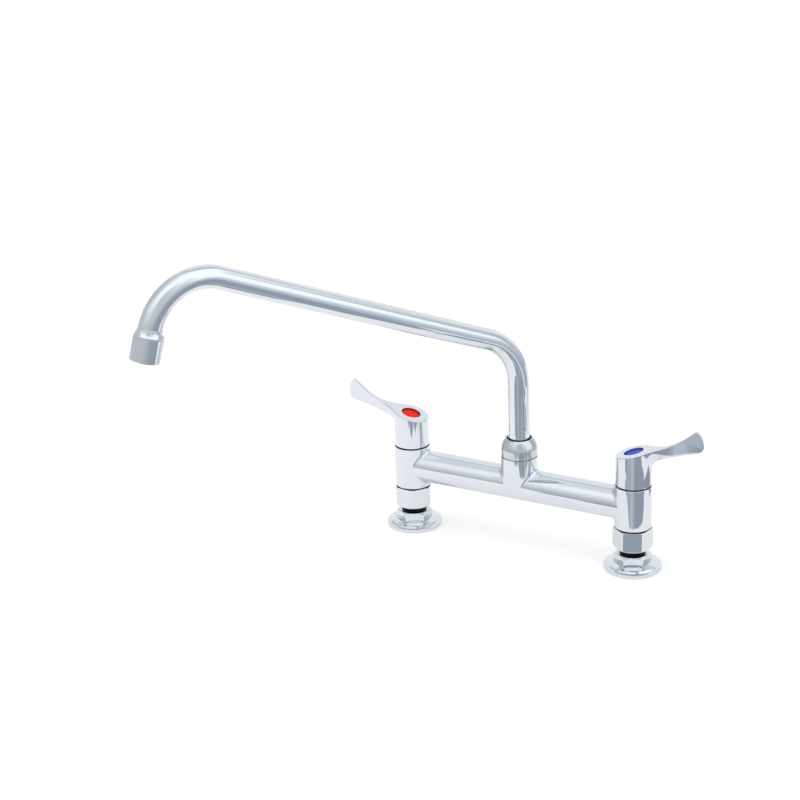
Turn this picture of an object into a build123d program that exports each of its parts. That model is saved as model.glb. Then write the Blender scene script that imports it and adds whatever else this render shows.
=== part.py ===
"""Deck-mount bridge tap with a tall swinging spout and two quarter-turn lever handles.

Millimetres. +Z is up, +X runs along the bridge from the hot leg to the cold leg, and -Y is the user's side.
The origin lies on the deck, midway between the two legs.
"""

import os
from math import cos, radians, sin, sqrt, tan

from build123d import *

os.makedirs("parts", exist_ok=True)

# Fits shared by many pieces
thread_clearance = 0.05
running_clearance = 0.06
seal_clearance = 0.02
film_clearance = 0.02
end_clearance = 0.1

# Leg below the bridge, from the deck upwards
leg_spacing = 203.0
nipple_radius = 10.48
inlet_thread_radius = 7.475
inlet_thread_length = 12.0
nipple_waterway_radius = 6.5
flange_radius = 23.5
flange_rim_height = 3.2
flange_height = 6.0
flange_crown_radius = 14.2
flange_edge_round = 0.5
gasket_setback = 2.0
gasket_width = 5.0
gasket_thickness = 1.4
lock_nut_flats = 27.0
lock_nut_height = 7.8
lock_nut_foot_radius = 14.8
lock_nut_crown_radius = 12.9
bare_thread_length = 4.5
union_nut_flats = 28.8
union_nut_height = 18.0
union_nut_foot_radius = 13.5
union_throat_gap = 0.42
union_shoulder_height = 8.2
nipple_collar_gap = 0.5
nipple_collar_height = 3.5
union_washer_thickness = 1.5
seam_height = 1.0
seam_setback = 0.3
nut_chamfer_angle = 30.0
hot_lock_nut_turn = 30.0
hot_union_nut_turn = 54.0
cold_lock_nut_turn = 25.5
cold_union_nut_turn = 22.0

# Bridge body
column_radius = 15.3
column_height = 36.0
column_foot_round = 0.8
column_top_round = 0.4
column_spigot_step = 2.2
column_wall = 3.3
bridge_radius = 13.6
bridge_bore_radius = 9.0
bridge_bore_wall = 2.0
supply_bore_radius = 8.5
seat_height = 12.7
seat_thickness = 2.0
seat_port_radius = 5.5
column_fillet = 2.5
boss_root_step = 0.9
boss_root_drop = 5.0
boss_rise = 26.0
boss_taper_height = 9.0
boss_fillet = 2.5
boss_spigot_step = 1.9
boss_spigot_height = 7.3
boss_spigot_wall = 1.6
shelf_depth = 2.3
swivel_bore_depth = 15.3
centre_waterway_radius = 8.0

# Ceramic cartridge
cage_gap = 3.0
cage_wall = 1.2
cage_window_width = 8.0
cage_window_height = 3.8
disc_gap = 0.1
fixed_disc_thickness = 3.0
moving_disc_thickness = 2.48
disc_port_inner_radius = 2.0
disc_port_outer_radius = 5.4
disc_port_angle = 80.0
seat_seal_setback = 0.2
seat_seal_width = 3.2
seat_seal_height = 2.0
cartridge_thread_height = 9.0
cartridge_ring_lift = 0.8
cartridge_ring_depth = 1.6
cartridge_collar_step = 0.9
cartridge_collar_height = 3.0
cartridge_neck_wall = 3.0
cartridge_neck_height = 6.2
wear_ring_setback = 0.2
wear_ring_height = 0.7
spindle_radius = 5.0
spindle_foot_height = 2.38
spindle_tang_width = 3.0
spindle_tang_depth = 1.2
spindle_tang_setback = 1.0
spindle_ring_depth = 1.1
spindle_ring_height = 2.0
spindle_ring_pitch = 6.0
spindle_ring_drop = 7.3
circlip_depth = 0.8
circlip_width = 1.8
circlip_thickness = 0.8
circlip_mouth_angle = 70.0
spline_depth = 0.5
spline_length = 8.5
spline_teeth = 20

# Lever handle, measured outwards from its hub's axis and up from its foot
hot_lever_turn = 184.0
cold_lever_turn = 4.0
hub_radius = 14.7
handle_gap = 0.3
hub_height = 27.7
face_slope = 16.0
face_reach = 21.0
lever_sweep_radius = 62.0
lever_top_slope = 41.0
lever_corner_reach = 51.8
lever_reach = 57.6
lever_tip_height = 39.7
lever_half_thickness = 1.3
lever_flare_radius = 42.0
underside_reach = 20.0
underside_height = 22.7
underside_slope = 0.42
underside_radius = 156.0
root_round = 6.0
toe_round = 4.5
toe_margin = 0.005
toe_drop = 13.5
keel_slope = 59.5
keel_margin = 0.15
keel_least_side = 0.9
keel_flat = 0.25
keel_stations = 44
lever_corner_round = 2.5
lever_edge_round = 0.9
hub_foot_round = 0.4
skirt_gap = 0.3
skirt_height = 3.2
handle_cavity_step = 1.2
handle_cavity_height = 9.7
handle_web = 1.6
screw_radius = 2.45
screw_head_radius = 4.4
screw_head_height = 2.2
screw_driver_flats = 3.0
screw_driver_depth = 1.2
button_radius = 8.2
button_thickness = 2.0
button_recess = 1.3
button_edge_round = 0.4

# Spout and its joint in the centre boss
spout_radius = 9.0
spout_wall = 1.0
swivel_wall = 1.4
swivel_tail = 12.5
swivel_lip = 0.5
swivel_ring_depth = 0.9
swivel_ring_height = 2.0
swivel_ring_pitch = 5.0
slip_washer_thickness = 0.55
swivel_collar_height = 3.4
bush_flange_height = 5.7
bush_wall = 0.85
bush_lip = 0.2
nut_gap = 0.5
spout_nut_height = 15.4
spout_nut_skirt = 6.7
spout_nut_waist_radius = 13.7
spout_nut_waist_height = 11.2
spout_nut_mouth_wall = 1.0
spout_swing = 29.05
riser_top = 144.0
riser_bend_radius = 48.0
run_slope = 22.65
run_length = 250.4
tip_bend_radius = 42.5
outlet_tilt = 15.5
outlet_straight = 4.4

# Outlet nose and aerator, measured along the flow from the end of the tip bend
nose_start = -1.2
nose_root_wall = 0.3
nose_rim_wall = 2.2
nose_rim_end = 5.1
nose_rim_width = 0.9
nose_sag_inward = 0.42
nose_sag_onward = 0.28
nose_thread_wall = 1.1
nose_thread_length = 5.3
aerator_wall = 1.2
aerator_gap = 0.2
aerator_length = 17.9
aerator_edge_round = 0.5
aerator_lip_height = 1.2
aerator_lip_width = 0.75
aerator_washer_width = 1.9
aerator_washer_thickness = 1.6
screen_thickness = 0.8
screen_hole = 1.4
screen_pitch = 2.6
insert_wall = 0.9
insert_hub_radius = 2.0
insert_rib_width = 0.8
insert_rib_count = 8

# Radii that follow from the fits
flange_bore_radius = nipple_radius + thread_clearance
gasket_outer_radius = flange_radius - gasket_setback
gasket_inner_radius = gasket_outer_radius - gasket_width
column_spigot_radius = column_radius - column_spigot_step
cartridge_bore_radius = column_radius - column_wall
seam_radius = column_radius - seam_setback
union_throat_radius = nipple_radius + union_throat_gap
union_chamber_radius = column_spigot_radius + thread_clearance
nipple_collar_radius = column_spigot_radius - nipple_collar_gap
cage_radius = cartridge_bore_radius - cage_gap
cage_bore_radius = cage_radius - cage_wall
disc_radius = cage_bore_radius - disc_gap
spindle_foot_radius = disc_radius - disc_gap
seat_seal_outer_radius = cage_radius - seat_seal_setback
seat_seal_inner_radius = seat_seal_outer_radius - seat_seal_width
cartridge_thread_radius = cartridge_bore_radius - thread_clearance
cartridge_ring_radius = cartridge_thread_radius - cartridge_ring_depth
cartridge_collar_radius = cartridge_bore_radius + cartridge_collar_step
cartridge_neck_radius = spindle_radius + cartridge_neck_wall
spindle_bore_radius = spindle_radius + thread_clearance
spindle_groove_radius = spindle_radius - spindle_ring_depth
circlip_groove_radius = spindle_radius - circlip_depth
circlip_radius = spindle_radius + circlip_width
spline_radius = circlip_groove_radius
wear_ring_radius = hub_radius - wear_ring_setback
skirt_radius = cartridge_collar_radius + skirt_gap
handle_cavity_radius = skirt_radius - handle_cavity_step
boss_spigot_radius = column_radius - boss_spigot_step
boss_root_radius = bridge_radius - boss_root_step
shelf_radius = boss_spigot_radius - boss_spigot_wall
swivel_radius = spout_radius + swivel_wall
swivel_bore_radius = swivel_radius + running_clearance
swivel_groove_radius = swivel_radius - swivel_ring_depth
swivel_collar_radius = shelf_radius - end_clearance
bush_neck_radius = spout_radius + bush_wall
nut_mouth_radius = bush_neck_radius + thread_clearance
nose_thread_radius = spout_radius + nose_thread_wall
aerator_bore_radius = nose_thread_radius + thread_clearance
aerator_radius = aerator_bore_radius + aerator_wall
aerator_lip_radius = aerator_bore_radius - aerator_lip_width
aerator_fill_radius = aerator_bore_radius - thread_clearance

# Heights that follow from the stack on a leg
half_spacing = leg_spacing / 2
lock_nut_top = flange_height + lock_nut_height
union_nut_bottom = lock_nut_top + bare_thread_length
union_nut_top = union_nut_bottom + union_nut_height
nipple_collar_bottom = union_nut_bottom + union_shoulder_height
nipple_top = nipple_collar_bottom + nipple_collar_height
spigot_bottom = nipple_top + union_washer_thickness
column_bottom = union_nut_top + seam_height
column_top = column_bottom + column_height
bridge_height = column_bottom + column_height / 2
seat_bottom = column_bottom + seat_height
seat_top = seat_bottom + seat_thickness
cage_bottom = seat_top + seat_seal_height
fixed_disc_top = cage_bottom + fixed_disc_thickness
moving_disc_bottom = fixed_disc_top + film_clearance
moving_disc_top = moving_disc_bottom + moving_disc_thickness
spindle_bottom = moving_disc_top + film_clearance
spindle_foot_top = spindle_bottom + spindle_foot_height
cage_roof = spindle_foot_top + end_clearance
cartridge_thread_bottom = column_top - cartridge_thread_height
cartridge_ring_bottom = cartridge_thread_bottom + cartridge_ring_lift
cartridge_collar_top = column_top + cartridge_collar_height
neck_top = cartridge_collar_top + cartridge_neck_height
handle_bottom = column_top + wear_ring_height + handle_gap
handle_cavity_top = handle_bottom + handle_cavity_height
handle_top = handle_bottom + hub_height
socket_top = handle_cavity_top + spline_length + end_clearance
spindle_top = socket_top - end_clearance
screw_seat = socket_top + handle_web
circlip_bottom = neck_top + end_clearance

# Heights that follow from the stack in the centre boss
boss_root_height = bridge_height - boss_root_drop
boss_top = bridge_height + boss_rise
boss_spigot_top = boss_top + boss_spigot_height
shelf_bottom = boss_top - shelf_depth
swivel_bore_bottom = boss_top - swivel_bore_depth
swivel_bottom = shelf_bottom - swivel_tail
spout_foot = swivel_bottom + swivel_lip
swivel_collar_bottom = shelf_bottom + slip_washer_thickness + running_clearance
swivel_collar_top = swivel_collar_bottom + swivel_collar_height
bush_bottom = swivel_collar_top + end_clearance
bush_flange_top = bush_bottom + bush_flange_height
nut_bottom = boss_top + nut_gap
nut_top = nut_bottom + spout_nut_height

# The lever's flare is tangent to the hub, and its top sweeps up from the hub's slanted face
flare_offset = lever_half_thickness + lever_flare_radius
flare_reach = sqrt((hub_radius + lever_flare_radius) ** 2 - flare_offset**2)
flare_start = flare_reach * hub_radius / (hub_radius + lever_flare_radius)
flare_start_width = flare_offset * hub_radius / (hub_radius + lever_flare_radius)
sweep_height = handle_top + face_reach * tan(radians(face_slope))
sweep_centre_reach = face_reach - lever_sweep_radius * sin(radians(face_slope))
sweep_centre_height = sweep_height + lever_sweep_radius * cos(radians(face_slope))
sweep_end_reach = sweep_centre_reach + lever_sweep_radius * sin(radians(lever_top_slope))
sweep_end_height = sweep_centre_height - lever_sweep_radius * cos(radians(lever_top_slope))
lever_corner_rise = (lever_corner_reach - sweep_end_reach) * tan(radians(lever_top_slope))
lever_corner_height = sweep_end_height + lever_corner_rise

# The spout's plane turns about Z from straight ahead, towards the hot side
spout_out = Vector(-sin(radians(spout_swing)), -cos(radians(spout_swing)), 0)
spout_plane = Plane(origin=(0, 0, 0), x_dir=spout_out, z_dir=spout_out.cross(Vector(0, 0, 1)))


def upright_section(axis_x):
    """Plane through a vertical axis, with the radius along its x and the height along its y."""
    return Plane(origin=(axis_x, 0, 0), x_dir=(1, 0, 0), z_dir=(0, -1, 0))


def half_section(plane, *corners):
    """Closed outline, radius against height, ready to be revolved."""
    with BuildSketch(plane) as outline:
        with BuildLine():
            Polyline(*corners, close=True)
        make_face()
    return outline.sketch


def ring_section(plane, inner, outer, bottom, top):
    """Rectangular half section of a washer or a ring."""
    return half_section(plane, (inner, bottom), (outer, bottom), (outer, top), (inner, top))


def chamfered_bar(plane, foot_radius, crown_radius, corner_radius, bottom, top):
    """Half section that trims a hexagon's corners at one or both ends."""
    slope = tan(radians(nut_chamfer_angle))
    return half_section(
        plane,
        (0, bottom),
        (foot_radius, bottom),
        (corner_radius, bottom + (corner_radius - foot_radius) * slope),
        (corner_radius, top - (corner_radius - crown_radius) * slope),
        (crown_radius, top),
        (0, top),
    )


def serration(radius):
    """Toothed outline shared by the spindle's stem and the handle's socket."""
    pitch = 360 / spline_teeth
    corners = []
    for tooth in range(spline_teeth):
        crest = radians(tooth * pitch)
        root = radians((tooth + 0.5) * pitch)
        corners.append((radius * cos(crest), radius * sin(crest)))
        corners.append(((radius - spline_depth) * cos(root), (radius - spline_depth) * sin(root)))
    return corners


def disc_ports(plane, turn):
    """Two opposite sector ports of a ceramic disc."""
    with BuildSketch(plane) as ports:
        with PolarLocations(0, 2, start_angle=turn):
            SlotArc(
                CenterArc(
                    (0, 0),
                    (disc_port_inner_radius + disc_port_outer_radius) / 2,
                    -disc_port_angle / 2,
                    disc_port_angle,
                ),
                disc_port_outer_radius - disc_port_inner_radius,
            )
    return ports.sketch


def lever_face(reach):
    """Height of the lever's top at a distance from the hub's axis."""
    if reach < face_reach:
        return handle_top + reach * tan(radians(face_slope))
    if reach < sweep_end_reach:
        return sweep_centre_height - sqrt(lever_sweep_radius**2 - (reach - sweep_centre_reach) ** 2)
    return sweep_end_height + (reach - sweep_end_reach) * tan(radians(lever_top_slope))


def lever_underside(reach):
    """Height of the lever's keel line, rounded into the hub and up into the toe."""
    along = reach - underside_reach
    height = handle_bottom + underside_height + underside_slope * along - along**2 / (2 * underside_radius)
    root = min(root_round, max(0, hub_radius + root_round - reach))
    toe = min(toe_round - toe_margin, max(0, reach - lever_reach + toe_round))
    return height - root_round + sqrt(root_round**2 - root**2) + toe_round - sqrt(toe_round**2 - toe**2)


def lever_half_width(reach):
    """Half the lever's width in plan, along the flare and then along the blade."""
    inward = max(0, flare_reach - reach)
    return flare_offset - sqrt(lever_flare_radius**2 - inward**2)


# Bridge body: two columns and a cross tube, with the spout's boss in the middle
with BuildPart() as bridge_body:
    for leg_x in (-half_spacing, half_spacing):
        revolve(
            half_section(
                upright_section(leg_x),
                (0, spigot_bottom),
                (column_spigot_radius, spigot_bottom),
                (column_spigot_radius, column_bottom),
                (column_radius, column_bottom),
                (column_radius, column_top),
                (0, column_top),
            ),
            axis=Axis((leg_x, 0, 0), (0, 0, 1)),
        )
    column_rims = bridge_body.edges().filter_by(GeomType.CIRCLE).group_by(SortBy.RADIUS)[-1]
    fillet(column_rims.group_by(Axis.Z)[0], radius=column_foot_round)
    fillet(bridge_body.edges().group_by(Axis.Z)[-1], radius=column_top_round)
    with BuildSketch(Plane(origin=(-half_spacing, 0, bridge_height), x_dir=(0, 1, 0), z_dir=(1, 0, 0))):
        Circle(bridge_radius)
    extrude(amount=leg_spacing)
    fillet(bridge_body.edges().filter_by(GeomType.BSPLINE), radius=column_fillet)
    with BuildSketch(upright_section(0)) as boss_outline:
        with BuildLine():
            taper = Bezier(
                (boss_root_radius, boss_root_height),
                (column_radius, boss_root_height + boss_taper_height / 2),
                (column_radius, boss_root_height + boss_taper_height),
            )
            Polyline(taper @ 1, (column_radius, boss_top), (0, boss_top), (0, boss_root_height), taper @ 0)
        make_face()
    revolve(axis=Axis.Z)
    boss_joint = bridge_body.edges().filter_by(GeomType.BSPLINE)
    boss_joint = boss_joint.filter_by(lambda edge: abs(edge.center().X) < column_radius)
    fillet(boss_joint, radius=boss_fillet)
    revolve(
        half_section(
            upright_section(0),
            (0, shelf_bottom),
            (boss_spigot_radius, shelf_bottom),
            (boss_spigot_radius, boss_spigot_top),
            (0, boss_spigot_top),
        ),
        axis=Axis.Z,
    )
    for leg_x in (-half_spacing, half_spacing):
        revolve(
            half_section(
                upright_section(leg_x),
                (0, spigot_bottom),
                (supply_bore_radius, spigot_bottom),
                (supply_bore_radius, seat_bottom),
                (seat_port_radius, seat_bottom),
                (seat_port_radius, seat_top),
                (cartridge_bore_radius, seat_top),
                (cartridge_bore_radius, column_top),
                (0, column_top),
            ),
            axis=Axis((leg_x, 0, 0), (0, 0, 1)),
            mode=Mode.SUBTRACT,
        )
    bridge_bore_end = half_spacing - supply_bore_radius - bridge_bore_wall
    with BuildSketch(Plane(origin=(-bridge_bore_end, 0, bridge_height), x_dir=(0, 1, 0), z_dir=(1, 0, 0))):
        Circle(bridge_bore_radius)
    extrude(amount=2 * bridge_bore_end, mode=Mode.SUBTRACT)
    revolve(
        half_section(
            upright_section(0),
            (0, bridge_height),
            (centre_waterway_radius, bridge_height),
            (centre_waterway_radius, swivel_bore_bottom),
            (swivel_bore_radius, swivel_bore_bottom),
            (swivel_bore_radius, shelf_bottom),
            (shelf_radius, shelf_bottom),
            (shelf_radius, boss_spigot_top),
            (0, boss_spigot_top),
        ),
        axis=Axis.Z,
        mode=Mode.SUBTRACT,
    )
bridge_body.part.label = "bridge_body"
export_step(bridge_body.part, "parts/bridge_body.step")

# One leg's fixed fittings and cartridge, then the handle that turns on it
legs = (
    ("hot", -half_spacing, hot_lever_turn, hot_lock_nut_turn, hot_union_nut_turn),
    ("cold", half_spacing, cold_lever_turn, cold_lock_nut_turn, cold_union_nut_turn),
)
for side, leg_x, lever_turn, lock_nut_turn, union_nut_turn in legs:
    section = upright_section(leg_x)
    leg_axis = Axis((leg_x, 0, 0), (0, 0, 1))
    toward_lever = Vector(cos(radians(lever_turn)), sin(radians(lever_turn)), 0)

    with BuildPart() as deck_flange:
        revolve(
            half_section(
                section,
                (flange_bore_radius, 0),
                (gasket_inner_radius, 0),
                (gasket_inner_radius, gasket_thickness),
                (gasket_outer_radius, gasket_thickness),
                (gasket_outer_radius, 0),
                (flange_radius, 0),
                (flange_radius, flange_rim_height),
                (flange_crown_radius, flange_height),
                (flange_bore_radius, flange_height),
            ),
            axis=leg_axis,
        )
        flange_rims = deck_flange.edges().filter_by(GeomType.CIRCLE).group_by(SortBy.RADIUS)[-1]
        fillet(flange_rims.sort_by(Axis.Z)[-1], radius=flange_edge_round)
    deck_flange.part.label = f"{side}_deck_flange"
    export_step(deck_flange.part, f"parts/{side}_deck_flange.step")

    with BuildPart() as deck_gasket:
        revolve(
            ring_section(
                section,
                gasket_inner_radius + seal_clearance,
                gasket_outer_radius - seal_clearance,
                0,
                gasket_thickness,
            ),
            axis=leg_axis,
        )
    deck_gasket.part.label = f"{side}_deck_gasket"
    export_step(deck_gasket.part, f"parts/{side}_deck_gasket.step")

    with BuildPart() as lock_nut:
        with BuildSketch(Plane(origin=(leg_x, 0, flange_height))):
            RegularPolygon(lock_nut_flats / 2, 6, major_radius=False, rotation=lock_nut_turn)
        extrude(amount=lock_nut_height)
        revolve(
            chamfered_bar(
                section,
                lock_nut_foot_radius,
                lock_nut_crown_radius,
                lock_nut_flats / 2 / cos(radians(30)),
                flange_height,
                lock_nut_top,
            ),
            axis=leg_axis,
            mode=Mode.INTERSECT,
        )
        revolve(
            ring_section(section, 0, nipple_radius + thread_clearance, flange_height, lock_nut_top),
            axis=leg_axis,
            mode=Mode.SUBTRACT,
        )
    lock_nut.part.label = f"{side}_lock_nut"
    export_step(lock_nut.part, f"parts/{side}_lock_nut.step")

    with BuildPart() as inlet_nipple:
        revolve(
            half_section(
                section,
                (inlet_thread_radius, 0),
                (nipple_radius, 0),
                (nipple_radius, nipple_collar_bottom),
                (nipple_collar_radius, nipple_collar_bottom),
                (nipple_collar_radius, nipple_top),
                (nipple_waterway_radius, nipple_top),
                (nipple_waterway_radius, inlet_thread_length),
                (inlet_thread_radius, inlet_thread_length),
            ),
            axis=leg_axis,
        )
    inlet_nipple.part.label = f"{side}_inlet_nipple"
    export_step(inlet_nipple.part, f"parts/{side}_inlet_nipple.step")

    with BuildPart() as union_nut:
        with BuildSketch(Plane(origin=(leg_x, 0, union_nut_bottom))):
            RegularPolygon(union_nut_flats / 2, 6, major_radius=False, rotation=union_nut_turn)
        extrude(amount=union_nut_height)
        revolve(
            chamfered_bar(
                section,
                union_nut_foot_radius,
                column_radius,
                union_nut_flats / 2 / cos(radians(30)),
                union_nut_bottom,
                union_nut_top,
            ),
            axis=leg_axis,
            mode=Mode.INTERSECT,
        )
        revolve(
            half_section(
                section,
                (0, union_nut_bottom),
                (union_throat_radius, union_nut_bottom),
                (union_throat_radius, nipple_collar_bottom),
                (union_chamber_radius, nipple_collar_bottom),
                (union_chamber_radius, union_nut_top),
                (0, union_nut_top),
            ),
            axis=leg_axis,
            mode=Mode.SUBTRACT,
        )
    union_nut.part.label = f"{side}_union_nut"
    export_step(union_nut.part, f"parts/{side}_union_nut.step")

    with BuildPart() as union_washer:
        revolve(
            ring_section(section, supply_bore_radius, nipple_collar_radius, nipple_top, spigot_bottom),
            axis=leg_axis,
        )
    union_washer.part.label = f"{side}_union_washer"
    export_step(union_washer.part, f"parts/{side}_union_washer.step")

    with BuildPart() as union_seal:
        revolve(
            ring_section(section, union_chamber_radius, seam_radius, union_nut_top, column_bottom),
            axis=leg_axis,
        )
    union_seal.part.label = f"{side}_union_seal"
    export_step(union_seal.part, f"parts/{side}_union_seal.step")

    with BuildPart() as cartridge_seal:
        revolve(
            ring_section(section, seat_seal_inner_radius, seat_seal_outer_radius, seat_top, cage_bottom),
            axis=leg_axis,
        )
    cartridge_seal.part.label = f"{side}_cartridge_seal"
    export_step(cartridge_seal.part, f"parts/{side}_cartridge_seal.step")

    with BuildPart() as fixed_disc:
        with BuildSketch(Plane(origin=(leg_x, 0, cage_bottom))):
            Circle(disc_radius)
        extrude(amount=fixed_disc_thickness)
        extrude(
            disc_ports(Plane(origin=(leg_x, 0, cage_bottom)), 0),
            amount=fixed_disc_thickness,
            mode=Mode.SUBTRACT,
        )
    fixed_disc.part.label = f"{side}_fixed_disc"
    export_step(fixed_disc.part, f"parts/{side}_fixed_disc.step")

    with BuildPart() as moving_disc:
        with BuildSketch(Plane(origin=(leg_x, 0, moving_disc_bottom))):
            Circle(disc_radius - seal_clearance)
        extrude(amount=moving_disc_thickness)
        extrude(
            disc_ports(Plane(origin=(leg_x, 0, moving_disc_bottom)), 90),
            amount=moving_disc_thickness,
            mode=Mode.SUBTRACT,
        )
        with BuildSketch(Plane(origin=(leg_x, 0, moving_disc_top))):
            Rectangle(2 * disc_radius, spindle_tang_width + 2 * seal_clearance)
        extrude(amount=-spindle_tang_depth - seal_clearance, mode=Mode.SUBTRACT)
    moving_disc.part.label = f"{side}_moving_disc"
    export_step(moving_disc.part, f"parts/{side}_moving_disc.step")

    with BuildPart() as cartridge_body:
        revolve(
            half_section(
                section,
                (cage_bore_radius, cage_bottom),
                (cage_radius, cage_bottom),
                (cage_radius, cartridge_thread_bottom),
                (cartridge_thread_radius, cartridge_thread_bottom),
                (cartridge_thread_radius, cartridge_ring_bottom),
                (cartridge_ring_radius, cartridge_ring_bottom),
                (cartridge_ring_radius, cartridge_ring_bottom + spindle_ring_height),
                (cartridge_thread_radius, cartridge_ring_bottom + spindle_ring_height),
                (cartridge_thread_radius, column_top),
                (cartridge_collar_radius, column_top),
                (cartridge_collar_radius, cartridge_collar_top),
                (cartridge_neck_radius, cartridge_collar_top),
                (cartridge_neck_radius, neck_top),
                (spindle_bore_radius, neck_top),
                (spindle_bore_radius, cage_roof),
                (cage_bore_radius, cage_roof),
            ),
            axis=leg_axis,
        )
        window_bottom = fixed_disc_top + 2 * end_clearance
        with BuildSketch(Plane(origin=(leg_x, 0, window_bottom))):
            Rectangle(2 * cartridge_bore_radius, cage_window_width)
            Rectangle(2 * spindle_foot_radius, cage_window_width, mode=Mode.SUBTRACT)
        extrude(amount=cage_window_height, mode=Mode.SUBTRACT)
    cartridge_body.part.label = f"{side}_cartridge_body"
    export_step(cartridge_body.part, f"parts/{side}_cartridge_body.step")

    with BuildPart() as cartridge_oring:
        revolve(
            ring_section(
                section,
                cartridge_ring_radius + seal_clearance,
                cartridge_bore_radius - seal_clearance,
                cartridge_ring_bottom + seal_clearance,
                cartridge_ring_bottom + spindle_ring_height - seal_clearance,
            ),
            axis=leg_axis,
        )
    cartridge_oring.part.label = f"{side}_cartridge_oring"
    export_step(cartridge_oring.part, f"parts/{side}_cartridge_oring.step")

    with BuildPart() as wear_ring:
        revolve(
            ring_section(
                section,
                cartridge_collar_radius + thread_clearance,
                wear_ring_radius,
                column_top,
                column_top + wear_ring_height,
            ),
            axis=leg_axis,
        )
    wear_ring.part.label = f"{side}_wear_ring"
    export_step(wear_ring.part, f"parts/{side}_wear_ring.step")

    # Both O-ring grooves start below the circlip's groove, a pitch apart
    upper_ring_bottom = neck_top - spindle_ring_drop - spindle_ring_height
    ring_bottoms = (upper_ring_bottom, upper_ring_bottom - spindle_ring_pitch)
    with BuildPart() as spindle:
        revolve(
            half_section(
                section,
                (0, spindle_bottom),
                (spindle_foot_radius, spindle_bottom),
                (spindle_foot_radius, spindle_foot_top),
                (spindle_radius, spindle_foot_top),
                (spindle_radius, circlip_bottom),
                (circlip_groove_radius, circlip_bottom),
                (circlip_groove_radius, circlip_bottom + circlip_thickness),
                (spindle_radius, circlip_bottom + circlip_thickness),
                (spindle_radius, handle_cavity_top),
                (0, handle_cavity_top),
            ),
            axis=leg_axis,
        )
        for ring_bottom in ring_bottoms:
            revolve(
                ring_section(
                    section,
                    spindle_groove_radius,
                    spindle_bore_radius,
                    ring_bottom,
                    ring_bottom + spindle_ring_height,
                ),
                axis=leg_axis,
                mode=Mode.SUBTRACT,
            )
        with BuildSketch(Plane(origin=(leg_x, 0, spindle_bottom))):
            Rectangle(2 * (spindle_foot_radius - spindle_tang_setback), spindle_tang_width)
        extrude(amount=-spindle_tang_depth)
        with BuildSketch(Plane(origin=(leg_x, 0, handle_cavity_top))):
            with BuildLine():
                Polyline(*serration(spline_radius), close=True)
            make_face()
        extrude(amount=spindle_top - handle_cavity_top)
        with BuildSketch(Plane(origin=(leg_x, 0, handle_cavity_top))):
            Circle(screw_radius + thread_clearance)
        extrude(amount=spindle_top - handle_cavity_top, mode=Mode.SUBTRACT)
    spindle.part.label = f"{side}_spindle"
    export_step(spindle.part, f"parts/{side}_spindle.step")

    with BuildPart() as spindle_orings:
        for ring_bottom in ring_bottoms:
            revolve(
                ring_section(
                    section,
                    spindle_groove_radius + seal_clearance,
                    spindle_bore_radius - seal_clearance,
                    ring_bottom + seal_clearance,
                    ring_bottom + spindle_ring_height - seal_clearance,
                ),
                axis=leg_axis,
            )
    spindle_orings.part.label = f"{side}_spindle_orings"
    export_step(spindle_orings.part, f"parts/{side}_spindle_orings.step")

    with BuildPart() as circlip:
        revolve(
            ring_section(
                section,
                circlip_groove_radius + seal_clearance,
                circlip_radius,
                circlip_bottom + seal_clearance,
                circlip_bottom + circlip_thickness - seal_clearance,
            ),
            axis=leg_axis,
        )
        with BuildSketch(Plane(origin=(leg_x, 0, circlip_bottom))):
            with BuildLine():
                mouth = 2 * circlip_radius * tan(radians(circlip_mouth_angle / 2))
                Polyline((0, 0), (2 * circlip_radius, -mouth), (2 * circlip_radius, mouth), close=True)
            make_face()
        extrude(amount=circlip_thickness, mode=Mode.SUBTRACT)
    circlip.part.label = f"{side}_circlip"
    export_step(circlip.part, f"parts/{side}_circlip.step")

    def lever_section(reach):
        """Plane across the lever, with its width along x and the height along y."""
        return Plane(
            origin=(leg_x + reach * toward_lever.X, reach * toward_lever.Y, 0),
            x_dir=(-toward_lever.Y, toward_lever.X, 0),
            z_dir=toward_lever,
        )

    lever_plan = Plane(origin=(leg_x, 0, handle_bottom), x_dir=toward_lever, z_dir=(0, 0, 1))
    lever_side = Plane(origin=(leg_x, 0, 0), x_dir=toward_lever, z_dir=toward_lever.cross(Vector(0, 0, 1)))

    button_plane = Plane(
        origin=(leg_x, 0, handle_top),
        x_dir=lever_side.z_dir,
        z_dir=Vector(0, 0, cos(radians(face_slope))) - toward_lever * sin(radians(face_slope)),
    )

    # A tall bar with the lever's keel for its underside
    with BuildPart() as keel_bar:
        for station in range(keel_stations + 1):
            reach = flare_start / 2 + (lever_reach + toe_round - flare_start / 2) * station / keel_stations
            half_width = lever_half_width(reach) + keel_margin
            bottom = lever_underside(reach)
            keel = (half_width - keel_flat) * tan(radians(keel_slope))
            crease = min(bottom + keel, lever_face(reach) - keel_least_side)
            with BuildSketch(lever_section(reach)):
                with BuildLine():
                    Polyline(
                        (-keel_flat, bottom),
                        (keel_flat, bottom),
                        (half_width, crease),
                        (half_width, 2 * handle_top),
                        (-half_width, 2 * handle_top),
                        (-half_width, crease),
                        close=True,
                    )
                make_face()
        loft()

    # What the lever leaves open below itself, outside its hub
    with BuildPart() as under_lever:
        with BuildSketch(lever_plan):
            with Locations((flare_start + lever_reach, 0)):
                Rectangle(2 * lever_reach, 3 * hub_radius)
            Circle(hub_radius, mode=Mode.SUBTRACT)
        extrude(amount=2 * handle_top)
        add(keel_bar.part, mode=Mode.SUBTRACT)

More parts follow.
